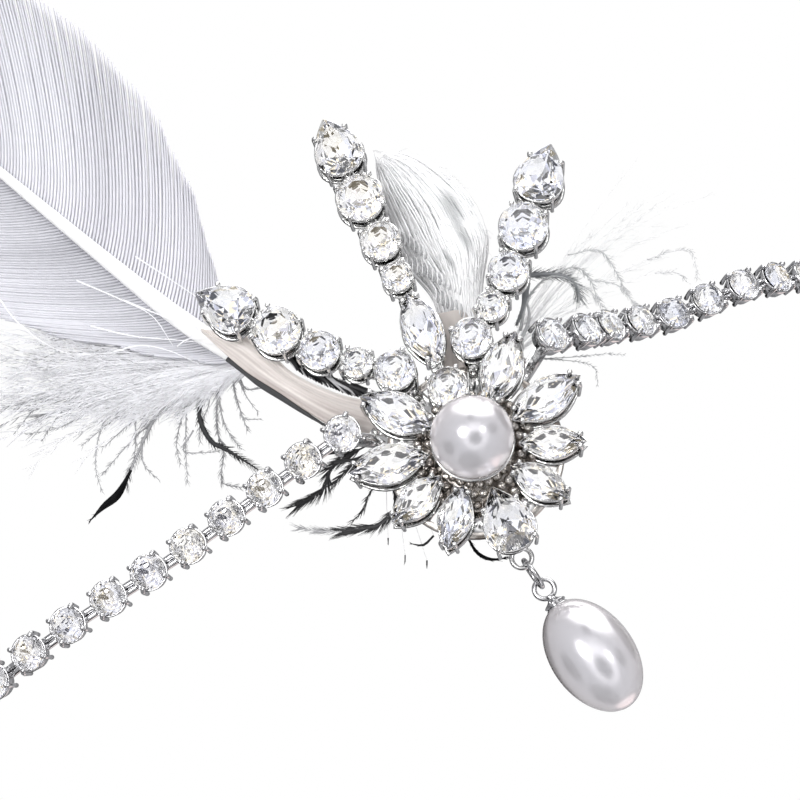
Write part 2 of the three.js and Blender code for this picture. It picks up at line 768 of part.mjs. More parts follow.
hanging.add(mesh('drop_cap', dropCapGeometry(), silver));
hanging.add(mesh('drop_pearl', dropPearlGeometry(0), pearl));

// The chain starts on the medallion's arms and meets the clasp behind the head
const clasp = mesh('clasp', claspGeometry(), silver);
clasp.position.set(CLASP_PLACE.x, CLASP_PLACE.y + CLASP_THICKNESS / 2, CLASP_PLACE.z);
headband.add(clasp);

function chainStart(seat) {
  return new THREE.Vector3(seat.x, seat.y, CHAIN_SEAT_GAP).applyMatrix4(medallion.matrixWorld);
}

function chainEnd(side) {
  const reach = CLASP_LENGTH / 2 + CLASP_GAP + CUP_RADIUS;
  return new THREE.Vector3(CLASP_PLACE.x + side * reach, CLASP_PLACE.y - CUP_HEIGHT / 2, CLASP_PLACE.z);
}

headband.add(mesh('chain_left', chainGeometry(chainStart(CHAIN_SEATS.left), ROUTE_LEFT, chainEnd(-1)), silver));
headband.add(mesh('chain_right', chainGeometry(chainStart(CHAIN_SEATS.right), ROUTE_RIGHT, chainEnd(1)), silver));

export default headband;
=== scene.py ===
"""The looks of a flapper feather headband: cut stones, plated metal, pearls and feathers."""

import math
import random

import bpy
from mathutils import Matrix, Quaternion, Vector


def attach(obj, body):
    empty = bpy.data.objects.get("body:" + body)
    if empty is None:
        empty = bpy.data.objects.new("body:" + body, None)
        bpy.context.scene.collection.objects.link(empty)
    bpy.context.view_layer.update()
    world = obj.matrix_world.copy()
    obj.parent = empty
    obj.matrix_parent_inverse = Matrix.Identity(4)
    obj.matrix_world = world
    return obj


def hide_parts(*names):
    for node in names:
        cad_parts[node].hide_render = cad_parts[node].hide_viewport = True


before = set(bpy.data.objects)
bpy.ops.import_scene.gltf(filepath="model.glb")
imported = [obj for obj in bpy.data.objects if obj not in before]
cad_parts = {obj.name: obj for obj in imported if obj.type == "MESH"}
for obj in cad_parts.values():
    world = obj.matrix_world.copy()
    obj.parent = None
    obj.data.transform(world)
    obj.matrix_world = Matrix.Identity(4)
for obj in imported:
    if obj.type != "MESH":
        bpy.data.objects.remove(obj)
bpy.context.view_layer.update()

MM = 0.001
ORIGIN = Vector((0, 0, 0))
X_AXIS = Vector((1, 0, 0))
Y_AXIS = Vector((0, 1, 0))
Z_AXIS = Vector((0, 0, 1))

# The medallion's place, in millimetres, and its lean to the right in degrees
MEDALLION = Vector((20, -92, 0))
MEDALLION_LEAN = 6
# A stone's seat, and its cut as shares of its width
SEAT_HEIGHT = 2.25
PAVILION_SHARE = 0.18
CROWN_SHARE = 0.2
TABLE_SHARE = 0.6
STAR_SHARE = 0.6
GIRDLE_SHARE = 0.05
MAINS_WIDTH = 0.45
MAINS_DEPTH = 0.62
PAVILION = 0.3
PEAR_FULLNESS = 0.77

# Stones: cut, width, length
STONE_SIZES = {
    "tiny": ("round", 3.8, 3.8),
    "small": ("round", 4.9, 4.9),
    "large": ("round", 6.0, 6.0),
    "long_petal": ("marquise", 4.9, 9.8),
    "short_petal": ("marquise", 4.1, 8.0),
    "pear": ("pear", 6.1, 7.7),
    "low_pear": ("pear", 6.2, 8.2),
    "cup": ("round", 4.25, 4.25),
}

# Petals: node, stone, angle clockwise from the top, distance from the pearl, way of the tip
PETALS = [
    ("petal_upper_left", "long_petal", -42.5, 10.1, 0),
    ("petal_upper_right", "long_petal", 42.5, 10.1, 0),
    ("petal_side_left", "long_petal", -79.4, 10.4, 0),
    ("petal_side_right", "long_petal", 79.4, 10.4, 0),
    ("petal_low_left", "short_petal", -111.3, 9.4, 0),
    ("petal_low_right", "short_petal", 111.3, 9.4, 0),
    ("petal_bottom_left", "short_petal", -143.2, 9.1, 0),
    ("petal_bottom_right", "short_petal", 143.2, 9.1, 0),
    ("petal_pear", "low_pear", 180, 9.8, 180),
]
# Rays: the first stone's place, the gap between stones, then stones with the heading to each
CENTRE_RAY = (
    (0, 7.9),
    0.7,
    [("small", 0), ("long_petal", 0), ("tiny", -1.5), ("small", -1.5), ("large", -1.5), ("pear", -1.5)],
)
SIDE_RAY = ((5.0, 12.5), 0.45, [("small", 0), ("tiny", 54), ("small", 48), ("large", 41), ("pear", 41)])

PEARL_RADIUS = 5.0
PEARL_HEIGHT = 6.6

# The frame behind the stones
PLATE_RADIUS = 10.8
PLATE_THICKNESS = 0.6
PLATE_WINDOWS = 9
SPINE_WIDTH = 1.8
HUB = (0.05, 7.6)
RIM_WIDTH = 0.8
PLATE_BEVEL = 0.15
BRIDGE_WIDTH = 1.6
BRIDGE_START = 7
BRIDGE_END_GAP = 0.3
BAR_SQUARENESS = 0.6
# The collar of a stone: its height over the plate, its gap below the girdle, and its narrower base
COLLAR_START = 0.2
COLLAR_GAP = 0.12
COLLAR_FLARE = 0.84
BASE_TOP = 0.25
BASE_FLARE = 0.82
BASE_WALL = 0.5
BASE_RIM = 0.16
# The low pear's base is narrower, so that the jump ring can swing past it
LOW_PEAR_BASE_RIM = -0.25
# The pearl's peg, turned: radius and height, then the wire round the pearl: height, radius, wire
PEG_PROFILE = [(2.4, -PLATE_THICKNESS), (2.4, 1.9), (3.4, 2.75), (3.55, 2.7), (2.6, 1.6)]
PEARL_WIRE = (5.0, 4.86, 0.16)
# Rings of beads round the pearl: radius, height, bead radius, count
BEAD_RINGS = [(4.4, 1.5, 0.6, 24), (5.6, 1.2, 0.62, 30), (6.9, 0.7, 0.6, 36)]

# The loop, the ring and the drop, which hang swung a little to the right
LOOP_PLACE = (0, -14.2, -0.3)
LOOP_RADIUS = 1.2
LOOP_WIRE = 0.3
RING_RADIUS = 1.9
RING_WIRE = 0.3
WIRE_PLAY = 0.8
DROP_SWING = 6.2
DROP_WIDTH = 9.9
DROP_LENGTH = 14.7
CAP_PEARL_DEPTH = 1.29
# The turned cap of the drop from the top down: radius and height
CAP_PROFILE = [
    (0.35, 0.12), (0.55, 0.05), (0.6, -0.1), (0.52, -0.3), (0.58, -0.5), (0.85, -0.72), (1.2, -0.92),
    (1.36, -1.02), (1.42, -1.12), (1.36, -1.22), (1.2, -1.28), (1.24, -1.42), (1.4, -1.52), (1.46, -1.62),
    (1.42, -1.72), (1.2, -1.74),
]

# The way of the chain round the head, from the medallion to the clasp, in millimetres
CHAIN_SEATS = {"left": (-13.5, 7.9), "right": (13.0, 9.1)}
CHAIN_SEAT_GAP = 0.3
CHAIN_PITCH = 5.75
ROUTE_LEFT = [
    (1.2, -91.2, 8.9), (-15.3, -88.8, 7.2), (-39, -85.4, 5.8), (-60, -75, 3), (-75, -57, -2), (-83, -32, -9),
    (-85, -4, -17), (-81, 28, -26), (-68, 60, -35.5), (-45, 84, -43.5), (-20, 94.5, -47.5),
]
ROUTE_RIGHT = [
    (38.3, -88.4, 7.3), (41.4, -84.2, 7.6), (50.6, -77.2, 6.9), (62.4, -71.7, 7), (74, -61.5, 5),
    (82, -43, -1), (86, -18, -9), (85.5, 8, -18), (80, 36, -29), (67, 63, -39.5), (45, 84, -45.5),
    (20, 94.5, -48),
]
CLASP = Vector((0, 97, -48))
CLASP_REACH = 8.1
CUP_HEIGHT = 2.1
CUP_FLOOR_RADIUS = 1.6
CUP_FLOOR = 0.25
CUP_PAVILION = 0.44
CUP_TILT = 0.09
CUP_TILT_STEP = 0.03
CUP_TURN_STEP = 0.39
LINK_OFFSET = 0.42
LINK_WIRE = 0.42
LINK_HEIGHT = 0.75
LINK_STEPS = (-0.7, -0.35, 0, 0.35, 0.7)

# The big feather, in millimetres
FEATHER_LENGTH = 125
FEATHER_HALF_WIDTH = 22
FEATHER_DEPTH = 3.8
FEATHER_LEAN_BACK = 7
VANE_CUP = 3.2
# The feather's heading at its root, how far it bends over its first part, and its turn after that
ROOT_HEADING = -40
ROOT_BEND = 17.5
ROOT_BEND_SHARE = 0.34
FEATHER_TURN = 5
QUILL_STEPS = 80
QUILL_SIDES = 16
QUILL_RADIUS = 1.1
FEATHER_ROOT = (-1.5, 2.5)
VANE_START = 0.235
VANE_END = 0.995
BARBS_A_SIDE = 175
BARB_STEPS = 14
BARB_HALF_WIDTH = 0.26
BARB_LIFT = 0.08
BARB_THICKNESS = 0.05
BARB_TILT = 0.04
BARB_EDGE_PAINTED_SHADE = 0.86
QUILL_LIFT = 0.25
HAIR_RADIUS = 0.045
# The strap over the quill: its place along it, and its way round it as side and depth
STRAP_SHARE = 0.075
STRAP_REACH = QUILL_RADIUS + 1.2
STRAP_DEPTH = FEATHER_DEPTH + QUILL_RADIUS + 0.75
STRAP_WIRE = 0.5
CURL_STRANDS = 70
# Half widths of the quill along the feather
QUILL_WIDTHS = [(0.0, 1.0), (0.3, 1.3), (0.42, 0.92), (0.6, 0.55), (1.0, 0.15)]
# Widths of the vanes along the feather: share of the length, left and right shares of the half width
VANE_SECTIONS = [
    (0.22, 0.03, 0.03), (0.27, 0.14, 0.17), (0.33, 0.31, 0.4), (0.41, 0.54, 0.68), (0.51, 0.76, 0.91),
    (0.63, 0.87, 1.0), (0.75, 0.85, 0.97), (0.86, 0.68, 0.8), (0.94, 0.45, 0.54), (0.985, 0.2, 0.25),
    (1.0, 0.04, 0.04),
]

# The photograph's camera: its angles, its distance, and where the pearl lies in the picture
CAMERA_AZIMUTH = -5
CAMERA_ELEVATION = -15
CAMERA_ROLL = -30
CAMERA_DISTANCE = 300
PIXELS_PER_MM = 8.5
PICTURE_SIZE = 800
PEARL_PIXEL = (472, 437)
SENSOR_WIDTH = 36
CAMERA_CLIP = (0.01, 20)


def heading_vector(degrees):
    """A direction in the medallion's plane, turned clockwise from straight up."""
    turn = math.radians(degrees)
    return Vector((math.sin(turn), math.cos(turn), 0))


MEDALLION_MATRIX = (
    Matrix.Translation(MEDALLION)
    @ Matrix.Rotation(math.pi / 2, 4, "X")
    @ Matrix.Rotation(-math.radians(MEDALLION_LEAN), 4, "Z")
)
FEATHER_MATRIX = Matrix.Translation(MEDALLION) @ Matrix.Rotation(math.pi / 2, 4, "X")


class Build:
    """Collects the points and faces of one piece, in millimetres."""

    def __init__(self):
        self.points = []
        self.faces = []
        self.slots = []
        self.smooth = []
        self.shades = []

    def add(self, points, faces, slot=0, smooth=True, place=None, shades=None):
        start = len(self.points)
        self.shades.extend(shades if shades is not None else [1.0] * len(points))
        self.points.extend([place @ point for point in points] if place is not None else points)
        self.add_faces(start, faces, slot, smooth)

    def add_faces(self, start, faces, slot, smooth):
        """Faces over the points from start on."""
        self.faces.extend([tuple(start + corner for corner in face) for face in faces])
        self.slots.extend([slot] * len(faces))
        self.smooth.extend([smooth] * len(faces))

    def finish(self, name, materials, body, replaces=()):
        mesh = bpy.data.meshes.new(name)
        mesh.from_pydata([point * MM for point in self.points], [], self.faces)
        mesh.polygons.foreach_set("material_index", self.slots)
        mesh.polygons.foreach_set("use_smooth", self.smooth)
        shade = mesh.attributes.new("shade", "FLOAT", "POINT")
        shade.data.foreach_set("value", self.shades)
        mesh.update()
        piece = bpy.data.objects.new(name, mesh)
        bpy.context.scene.collection.objects.link(piece)
        for material in materials:
            mesh.materials.append(material)
        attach(piece, body)
        if replaces:
            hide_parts(*replaces)


def skin(rings, capped=True):
    """Points and faces of a surface over rings of equal count."""
    count = len(rings[0])
    points = [point for ring in rings for point in ring]
    faces = []
    for ring in range(len(rings) - 1):
        for side in range(count):
            a = ring * count + side
            b = ring * count + (side + 1) % count
            faces.append((a, b, b + count, a + count))
    if capped:
        faces.append(tuple(reversed(range(count))))
        last = (len(rings) - 1) * count
        faces.append(tuple(range(last, last + count)))
    return points, faces


def ring_round(centre, across, up, radius, sides):
    points = []
    for side in range(sides):
        angle = math.tau * side / sides
        points.append(centre + (across * math.cos(angle) + up * math.sin(angle)) * radius)
    return points


def level_ring(centre, height, radius, sides):
    """A level circle at a height over the centre."""
    return ring_round(centre + Vector((0, 0, height)), X_AXIS, Y_AXIS, radius, sides)


def way_at(path, number):
    """The way from the point before to the point after, at one point of a path."""
    return path[min(len(path) - 1, number + 1)] - path[max(0, number - 1)]


def tube(path, radii, sides=6):
    """A tube along a path, with a radius for each point of it."""
    rings = []
    across = None
    for number, point in enumerate(path):
        along = way_at(path, number).normalized()
        if across is None:
            guess = Z_AXIS if abs(along.z) < 0.9 else X_AXIS
            across = along.cross(guess).normalized()
        else:
            across = (across - along * across.dot(along)).normalized()
        up = along.cross(across)
        rings.append(ring_round(point, across, up, radii[number], sides))
    return skin(rings)


def ball(centre, radius, sides=10, rows=7, length=None):
    """A ball, or an egg of its own length, with its poles up and down."""
    half = radius if length is None else length / 2
    rings = []
    for row in range(1, rows):
        angle = math.pi * row / rows
        rings.append(level_ring(centre, -math.cos(angle) * half, math.sin(angle) * radius, sides))
    return skin(rings)


def torus(centre, axis, radius, wire, sides=48, wire_sides=12):
    """A wire ring round an axis."""
    turn = Z_AXIS.rotation_difference(axis)
    points = []
    faces = []
    for side in range(sides):
        angle = math.tau * side / sides
        out = Vector((math.cos(angle), math.sin(angle), 0))
        for corner in range(wire_sides):
            bend = math.tau * corner / wire_sides
            point = out * (radius + wire * math.cos(bend)) + Vector((0, 0, wire * math.sin(bend)))
            points.append(centre + turn @ point)
            near = side * wire_sides
            far = ((side + 1) % sides) * wire_sides
            after = (corner + 1) % wire_sides
            faces.append((near + corner, far + corner, far + after, near + after))
    return points, faces


def lathe(profile, centre, sides=48):
    """A turned shape about the vertical: pairs of radius and height."""
    return skin([level_ring(centre, height, radius, sides) for radius, height in profile])


def outline_point(size, angle, widen=0.0):
    """A stone's outline: the tips of pears and marquises look along +Y."""
    cut, width, length = STONE_SIZES[size]
    sine = math.sin(angle)
    across = {
        "round": sine,
        "marquise": sine * abs(sine),
        "pear": sine * abs(math.sin(angle / 2)) / PEAR_FULLNESS,
    }[cut]
    return Vector((-(width / 2 + widen) * across, (length / 2 + widen) * math.cos(angle), 0))


def outline_ring(size, share, height, count, turn=0.0, widen=0.0):
    """A stone's outline at a height, as a share of its size."""
    points = []
    for number in range(count):
        point = outline_point(size, math.tau * (number + turn) / count, widen) * share
        points.append(Vector((point.x, point.y, height)))
    return points


def outline_edge(size, angle):
    """The point and the outward way of a stone's outline."""
    small = 0.01
    edge = outline_point(size, angle + small) - outline_point(size, angle - small)
    return outline_point(size, angle), Vector((edge.y, -edge.x, 0)).normalized()


def stone_width(size):
    return STONE_SIZES[size][1]


def gem(size, pavilion=PAVILION):
    """A brilliant cut: table, stars, kites and girdle facets over the girdle at height 0, mains under it."""
    width = stone_width(size)
    crown_height = width * CROWN_SHARE
    pavilion_depth = width * pavilion
    girdle_height = GIRDLE_SHARE * width

    points = (
        outline_ring(size, TABLE_SHARE, crown_height, 8)
        + outline_ring(size, 0.5 + TABLE_SHARE / 2, crown_height * STAR_SHARE, 8, 0.5)
        + outline_ring(size, 1.0, 0.0, 16)
        + outline_ring(size, 0.995, -girdle_height, 16)
        + outline_ring(size, MAINS_WIDTH, -girdle_height - pavilion_depth * MAINS_DEPTH, 8, 0.5)
        + [Vector((0, 0, -girdle_height - pavilion_depth))]
    )
    # Where each ring starts in the list of points
    stars, girdle, low_girdle, mains, culet = 8, 16, 32, 48, 56
    crown_faces = [tuple(range(8))]
    foil_faces = []
    for side in range(8):
        after = (side + 1) % 8
        before = (side + 7) % 8
        here, near, far = 2 * side, 2 * side + 1, (2 * side + 2) % 16
        crown_faces.append((side, stars + side, after))
        crown_faces.append((side, stars + before, girdle + here, stars + side))
        crown_faces.append((stars + side, girdle + here, girdle + near))
        crown_faces.append((stars + side, girdle + near, girdle + far))
        foil_faces.append((mains + before, culet, mains + side, low_girdle + here))
        foil_faces.append((mains + side, low_girdle + near, low_girdle + here))
        foil_faces.append((mains + side, low_girdle + far, low_girdle + near))
    for side in range(16):
        after = (side + 1) % 16
        crown_faces.append((girdle + side, low_girdle + side, low_girdle + after, girdle + after))
    return points, crown_faces, foil_faces


def add_gem(build, size, place, pavilion=PAVILION):
    """A stone: crystal in the first slot, foil behind it in the second."""
    points, crown_faces, foil_faces = gem(size, pavilion)
    start = len(build.points)
    build.add(points, crown_faces, 0, False, place)
    build.add_faces(start, foil_faces, 1, False)


def add_collar(build, size, place, bottom, top, flare=0.86, wall=0.22, rim=0.1, sides=32):
    """The thin metal wall round a stone, open in the middle."""
    section = [
        (rim - wall, bottom, flare),
        (rim, bottom, flare),
        (rim, bottom + (top - bottom) * 0.55, (1 + flare) / 2),
        (rim, top, 1.0),
        (rim - wall * 0.8, top, 1.0),
        (rim - wall, bottom, flare),
    ]
    rings = [outline_ring(size, share, height, sides, 0.0, widen) for widen, height, share in section]
    build.add(*skin(rings, capped=False), place=place)


def add_prong(build, size, angle, place, girdle, wire=0.25, rise=0.62, tip=0.34, bottom=-0.5):
    """A claw: a wire up the side of the stone that bends over its edge, with a round tip."""
    point, out = outline_edge(size, angle)
    up = Z_AXIS
    base = point + out * (wire + 0.08)
    path = [
        base * 0.94 + up * bottom,
        base * 0.98 + up * (girdle * 0.5),
        base + up * (girdle - 0.1),
        base + up * (girdle + rise * 0.45) - out * 0.08,
        point + out * 0.16 + up * (girdle + rise * 0.8),
    ]
    build.add(*tube(path, [wire, wire * 0.9, wire * 0.95, wire * 1.05, wire], 8), place=place)
    build.add(*ball(path[-1] - out * 0.1, tip), place=place)


PRONG_ANGLES = {
    "round": (0.25, 0.75, 1.25, 1.75),
    "marquise": (0.2, 0.8, 1.2, 1.8),
    "pear": (0.36, 0.8, 1.2, 1.64),
}


def ray_places(ray, name, side):
    (start_x, start_y), gap, stones = ray
    place = Vector((start_x * side, start_y, 0))
    places = []
    for number, (size, heading) in enumerate(stones):
        if number > 0:
            before = STONE_SIZES[stones[number - 1][0]]
            step = (before[2] + STONE_SIZES[size][2]) / 2 + gap
            place = place + heading_vector(heading * side) * step
        places.append((f"{name}_{number + 1}", size, place.copy(), heading * side))
    return places


def stone_places():
    """Every stone of the medallion: node, size, place and the heading of its tip."""
    places = []
    for node, size, angle, reach, tip in PETALS:
        places.append((node, size, heading_vector(angle) * reach, angle + tip))
    places += ray_places(CENTRE_RAY, "ray_centre", 1)
    places += ray_places(SIDE_RAY, "ray_left", -1)
    places += ray_places(SIDE_RAY, "ray_right", 1)
    return places


def stone_matrix(place, heading, height):
    turn = Matrix.Rotation(-math.radians(heading), 4, "Z")
    return MEDALLION_MATRIX @ Matrix.Translation(place + Vector((0, 0, height))) @ turn


def curve_through(points, step):
    """Even points along a smooth curve through the chosen ones."""
    spots = [Vector(point) for point in points]
    padded = [spots[0] * 2 - spots[1]] + spots + [spots[-1] * 2 - spots[-2]]
    fine = []
    for number in range(1, len(padded) - 2):
        p0, p1, p2, p3 = padded[number - 1 : number + 3]
        t0 = 0.0
        t1 = t0 + math.sqrt((p1 - p0).length)
        t2 = t1 + math.sqrt((p2 - p1).length)
        t3 = t2 + math.sqrt((p3 - p2).length)
        for part in range(40):
            t = t1 + (t2 - t1) * part / 40
            a1 = p0 * ((t1 - t) / (t1 - t0)) + p1 * ((t - t0) / (t1 - t0))
            a2 = p1 * ((t2 - t) / (t2 - t1)) + p2 * ((t - t1) / (t2 - t1))
            a3 = p2 * ((t3 - t) / (t3 - t2)) + p3 * ((t - t2) / (t3 - t2))
            b1 = a1 * ((t2 - t) / (t2 - t0)) + a2 * ((t - t0) / (t2 - t0))
            b2 = a2 * ((t3 - t) / (t3 - t1)) + a3 * ((t - t1) / (t3 - t1))
            fine.append(b1 * ((t2 - t) / (t2 - t1)) + b2 * ((t - t1) / (t2 - t1)))
    fine.append(spots[-1])
    lengths = [0.0]
    for number in range(1, len(fine)):
        lengths.append(lengths[-1] + (fine[number] - fine[number - 1]).length)
    gaps = round(lengths[-1] / step)
    even = []
    at = 0
    for number in range(gaps + 1):
        goal = lengths[-1] * number / gaps
        while at < len(fine) - 2 and lengths[at + 1] < goal:
            at += 1
        share = (goal - lengths[at]) / max(1e-9, lengths[at + 1] - lengths[at])
        even.append(fine[at].lerp(fine[at + 1], min(1.0, share)))
    return even


def flat_curve(points, step, depth=0):
    """A smooth curve through points of the feathers' plane."""
    return curve_through([(x, y, -depth) for x, y in points], step)


def outward_matrix(point, along):
    out = Vector((along.y, -along.x, 0)).normalized()
    if out.x * point.x + out.y * point.y < 0:
        out.negate()
    up = out.cross(along).normalized()
    flat = up.cross(out)
    matrix = Matrix((flat, up, out)).transposed().to_4x4()
    matrix.translation = point
    return matrix


# Materials


def add_node(tree, kind, inputs=(), **settings):
    """A node with its settings; each input is a value or the socket that feeds it."""
    node = tree.nodes.new(kind)
    for name, value in settings.items():
        setattr(node, name, value)
    for socket, value in dict(inputs).items():
        if isinstance(value, bpy.types.NodeSocket):
            tree.links.new(value, node.inputs[socket])
        else:
            node.inputs[socket].default_value = value
    return node


def add_ramp(tree, factor, stops, interpolation="LINEAR"):
    """A colour ramp over stops of position and colour."""
    ramp = add_node(tree, "ShaderNodeValToRGB", {"Fac": factor})
    ramp.color_ramp.interpolation = interpolation
    elements = ramp.color_ramp.elements
    for number, (position, colour) in enumerate(stops):
        element = elements[number] if number < 2 else elements.new(position)
        element.position = position
        element.color = (*colour, 1)
    return ramp.outputs["Color"]


def new_material(name, values):
    """A material with the given values on its shader."""
    material = bpy.data.materials.new(name)
    material.use_nodes = True
    shader = material.node_tree.nodes["Principled BSDF"]
    for socket, value in values.items():
        shader.inputs[socket].default_value = value
    return material, material.node_tree, shader


def object_noise(tree, scale, detail=2.0):
    place = add_node(tree, "ShaderNodeTexCoord")
    inputs = {"Vector": place.outputs["Object"], "Scale": scale, "Detail": detail}
    return add_node(tree, "ShaderNodeTexNoise", inputs).outputs["Fac"]


BUMP_DISTANCE = 0.0001


def link_bump(tree, shader, noise, strength):
    """The slight unevenness of a polished surface."""
    inputs = {"Strength": strength, "Distance": BUMP_DISTANCE, "Height": noise}
    bump = add_node(tree, "ShaderNodeBump", inputs)
    tree.links.new(bump.outputs["Normal"], shader.inputs["Normal"])


def link_colours(tree, shader, noise, low, high):
    """Colour that wanders between two values."""
    colour = add_ramp(tree, noise, [(0.3, low), (0.7, high)])
    tree.links.new(colour, shader.inputs["Base Color"])


def metal_material(name, low, high, roughness, scale, bump=0.0):
    """Metal whose colour wanders a little; a bump takes the finer noise with it."""
    material, tree, shader = new_material(name, {"Metallic": 1.0, "Roughness": roughness})
    noise = object_noise(tree, scale, 4.0 if bump else 2.0)
    if bump:
        link_bump(tree, shader, noise, bump)
    link_colours(tree, shader, noise, low, high)
    return material


def crystal_material():
    material, tree, shader = new_material("cut_crystal", {
        "Transmission Weight": 1.0, "Roughness": 0.0, "IOR": 1.45,
        "Coat Weight": 1.0, "Coat Roughness": 0.0, "Coat IOR": 1.9,
    })
    link_colours(tree, shader, object_noise(tree, 240), (0.97, 0.985, 1.0), (1.0, 0.995, 0.98))
    return material


def pearl_material():
    """Nacre: half way to a mirror, blurred, under a clear coat."""
    material, tree, shader = new_material("pearl_lustre", {
        "Metallic": 0.45, "Roughness": 0.18, "Coat Weight": 1.0, "Coat Roughness": 0.06,
    })
    link_bump(tree, shader, object_noise(tree, 500, 4.0), 0.04)
    # Painted reflection: the base colour turns pink towards the rim, standing in for the petals mirrored
    # there.
    edge = add_node(tree, "ShaderNodeLayerWeight", {"Blend": 0.4})
    colour = add_ramp(tree, edge.outputs["Facing"], [(0.0, (0.72, 0.71, 0.75)), (1.0, (0.78, 0.72, 0.72))])
    tree.links.new(colour, shader.inputs["Base Color"])
    return material


def barb_material(name, low, high, roughness, scale=900, shine=0.5, wander=0.3):
    """Feather stuff: a tone on each point (own colour, in places painted shade) and a little noise choose
    between two colours.
    """
    values = {"Roughness": roughness, "Specular IOR Level": shine}
    material, tree, shader = new_material(name, values)
    shade = add_node(tree, "ShaderNodeAttribute", attribute_name="shade")
    offset = add_node(tree, "ShaderNodeMath", {0: shade.outputs["Fac"], 1: wander / 2}, operation="SUBTRACT")
    inputs = {0: object_noise(tree, scale), 1: wander, 2: offset.outputs["Value"]}
    blend = add_node(tree, "ShaderNodeMath", inputs, operation="MULTIPLY_ADD")
    inputs = {0: blend.outputs["Value"], 6: (*low, 1), 7: (*high, 1)}
    mix = add_node(tree, "ShaderNodeMix", inputs, data_type="RGBA")
    tree.links.new(mix.outputs[2], shader.inputs["Base Color"])
    return material


silver = metal_material("plated_silver", (0.78, 0.78, 0.78), (0.94, 0.94, 0.93), 0.1, 900, 0.06)
cup_silver = metal_material("cup_silver", (0.5, 0.5, 0.51), (0.85, 0.85, 0.86), 0.14, 900, 0.06)
dull_silver = metal_material("dull_silver", (0.34, 0.3, 0.27), (0.85, 0.82, 0.78), 0.25, 700)
foil = metal_material("stone_foil", (0.86, 0.87, 0.93), (0.97, 0.95, 0.9), 0.0, 260)
crystal = crystal_material()
pearl = pearl_material()
vane_barbs = barb_material("grey_vane_barbs", (0.2, 0.2, 0.23), (0.84, 0.84, 0.9), 0.45, wander=0.12)
quill_white = barb_material("white_quill", (0.7, 0.7, 0.72), (0.97, 0.97, 0.97), 0.35, 200)
quill_cream = barb_material("cream_quill", (0.36, 0.3, 0.28), (0.9, 0.84, 0.8), 0.4, 160)
down_barbs = barb_material("white_down", (0.06, 0.06, 0.065), (0.97, 0.97, 1.0), 0.7, 300)
plume_barbs = barb_material("white_plume", (0.2, 0.21, 0.22), (0.96, 0.96, 0.97), 0.6, 300, wander=0.2)
dark_barbs = barb_material("dark_barbs", (0.004, 0.004, 0.005), (0.75, 0.75, 0.77), 0.6, 600, 0.06, 0.04)


# Medallion


def make_stones():
    """Each stone of the medallion in place of its plain one."""
    for node, size, place, heading in stone_places():
        girdle = SEAT_HEIGHT + stone_width(size) * PAVILION_SHARE
        build = Build()
        add_gem(build, size, stone_matrix(place, heading, girdle))
        build.finish(node + "_cut", [crystal, foil], "headband", [node])


def add_bar(build, start, end, width, low, high, place):
    """A bar with rounded long edges in the medallion's plane."""
    along = Vector((end[0] - start[0], end[1] - start[1], 0))
    across = Vector((-along.y, along.x, 0)).normalized()
    middle, half = (low + high) / 2, (high - low) / 2
    section = []
    for step in range(12):
        angle = math.tau * step / 12
        side = math.copysign(abs(math.cos(angle)) ** BAR_SQUARENESS, math.cos(angle)) * width / 2
        rise = math.copysign(abs(math.sin(angle)) ** BAR_SQUARENESS, math.sin(angle)) * half
        section.append((side, middle + rise))
    rings = []
    for x, y, *_ in (start, end):
        rings.append([Vector((x, y, 0)) + across * side + Vector((0, 0, rise)) for side, rise in section])
    build.add(*skin(rings), place=place)


def add_plate(build):
    """A pierced plate: a hub, a rim and a bridge between each two windows."""
    steps = PLATE_WINDOWS * 8
    for inner, outer in (HUB, (PLATE_RADIUS - RIM_WIDTH, PLATE_RADIUS)):
        edge = outer - PLATE_BEVEL
        profile = [(inner, 0.0), (edge, 0.0), (outer, -PLATE_BEVEL), (outer, PLATE_BEVEL - PLATE_THICKNESS)]
        profile += [(edge, -PLATE_THICKNESS), (inner, -PLATE_THICKNESS), (inner, 0.0)]
        rings = [level_ring(ORIGIN, height, radius, steps) for radius, height in profile]
        build.add(*skin(rings, capped=False), 1, place=MEDALLION_MATRIX)
    for window in range(PLATE_WINDOWS):
        way = heading_vector(360 * window / PLATE_WINDOWS)
        stop = way * (PLATE_RADIUS - BRIDGE_END_GAP)
        add_bar(build, way * BRIDGE_START, stop, BRIDGE_WIDTH, -PLATE_THICKNESS, 0, MEDALLION_MATRIX)


def add_strap(build):
    """A strap over the quills behind the plate."""
    middle = feather_point(STRAP_SHARE)
    across = heading_vector(feather_heading(STRAP_SHARE) + 90)
    deep = STRAP_DEPTH
    path = []
    for side, depth in (
        (-1, 0.3), (-1, deep - 0.6), (-0.8, deep), (0, deep + 0.1), (0.8, deep), (1, deep - 0.6), (1, 0.3),
    ):
        path.append(middle + across * (side * STRAP_REACH) + Vector((0, 0, -depth)))
    build.add(*tube(path, [STRAP_WIRE] * len(path), 8), place=FEATHER_MATRIX)


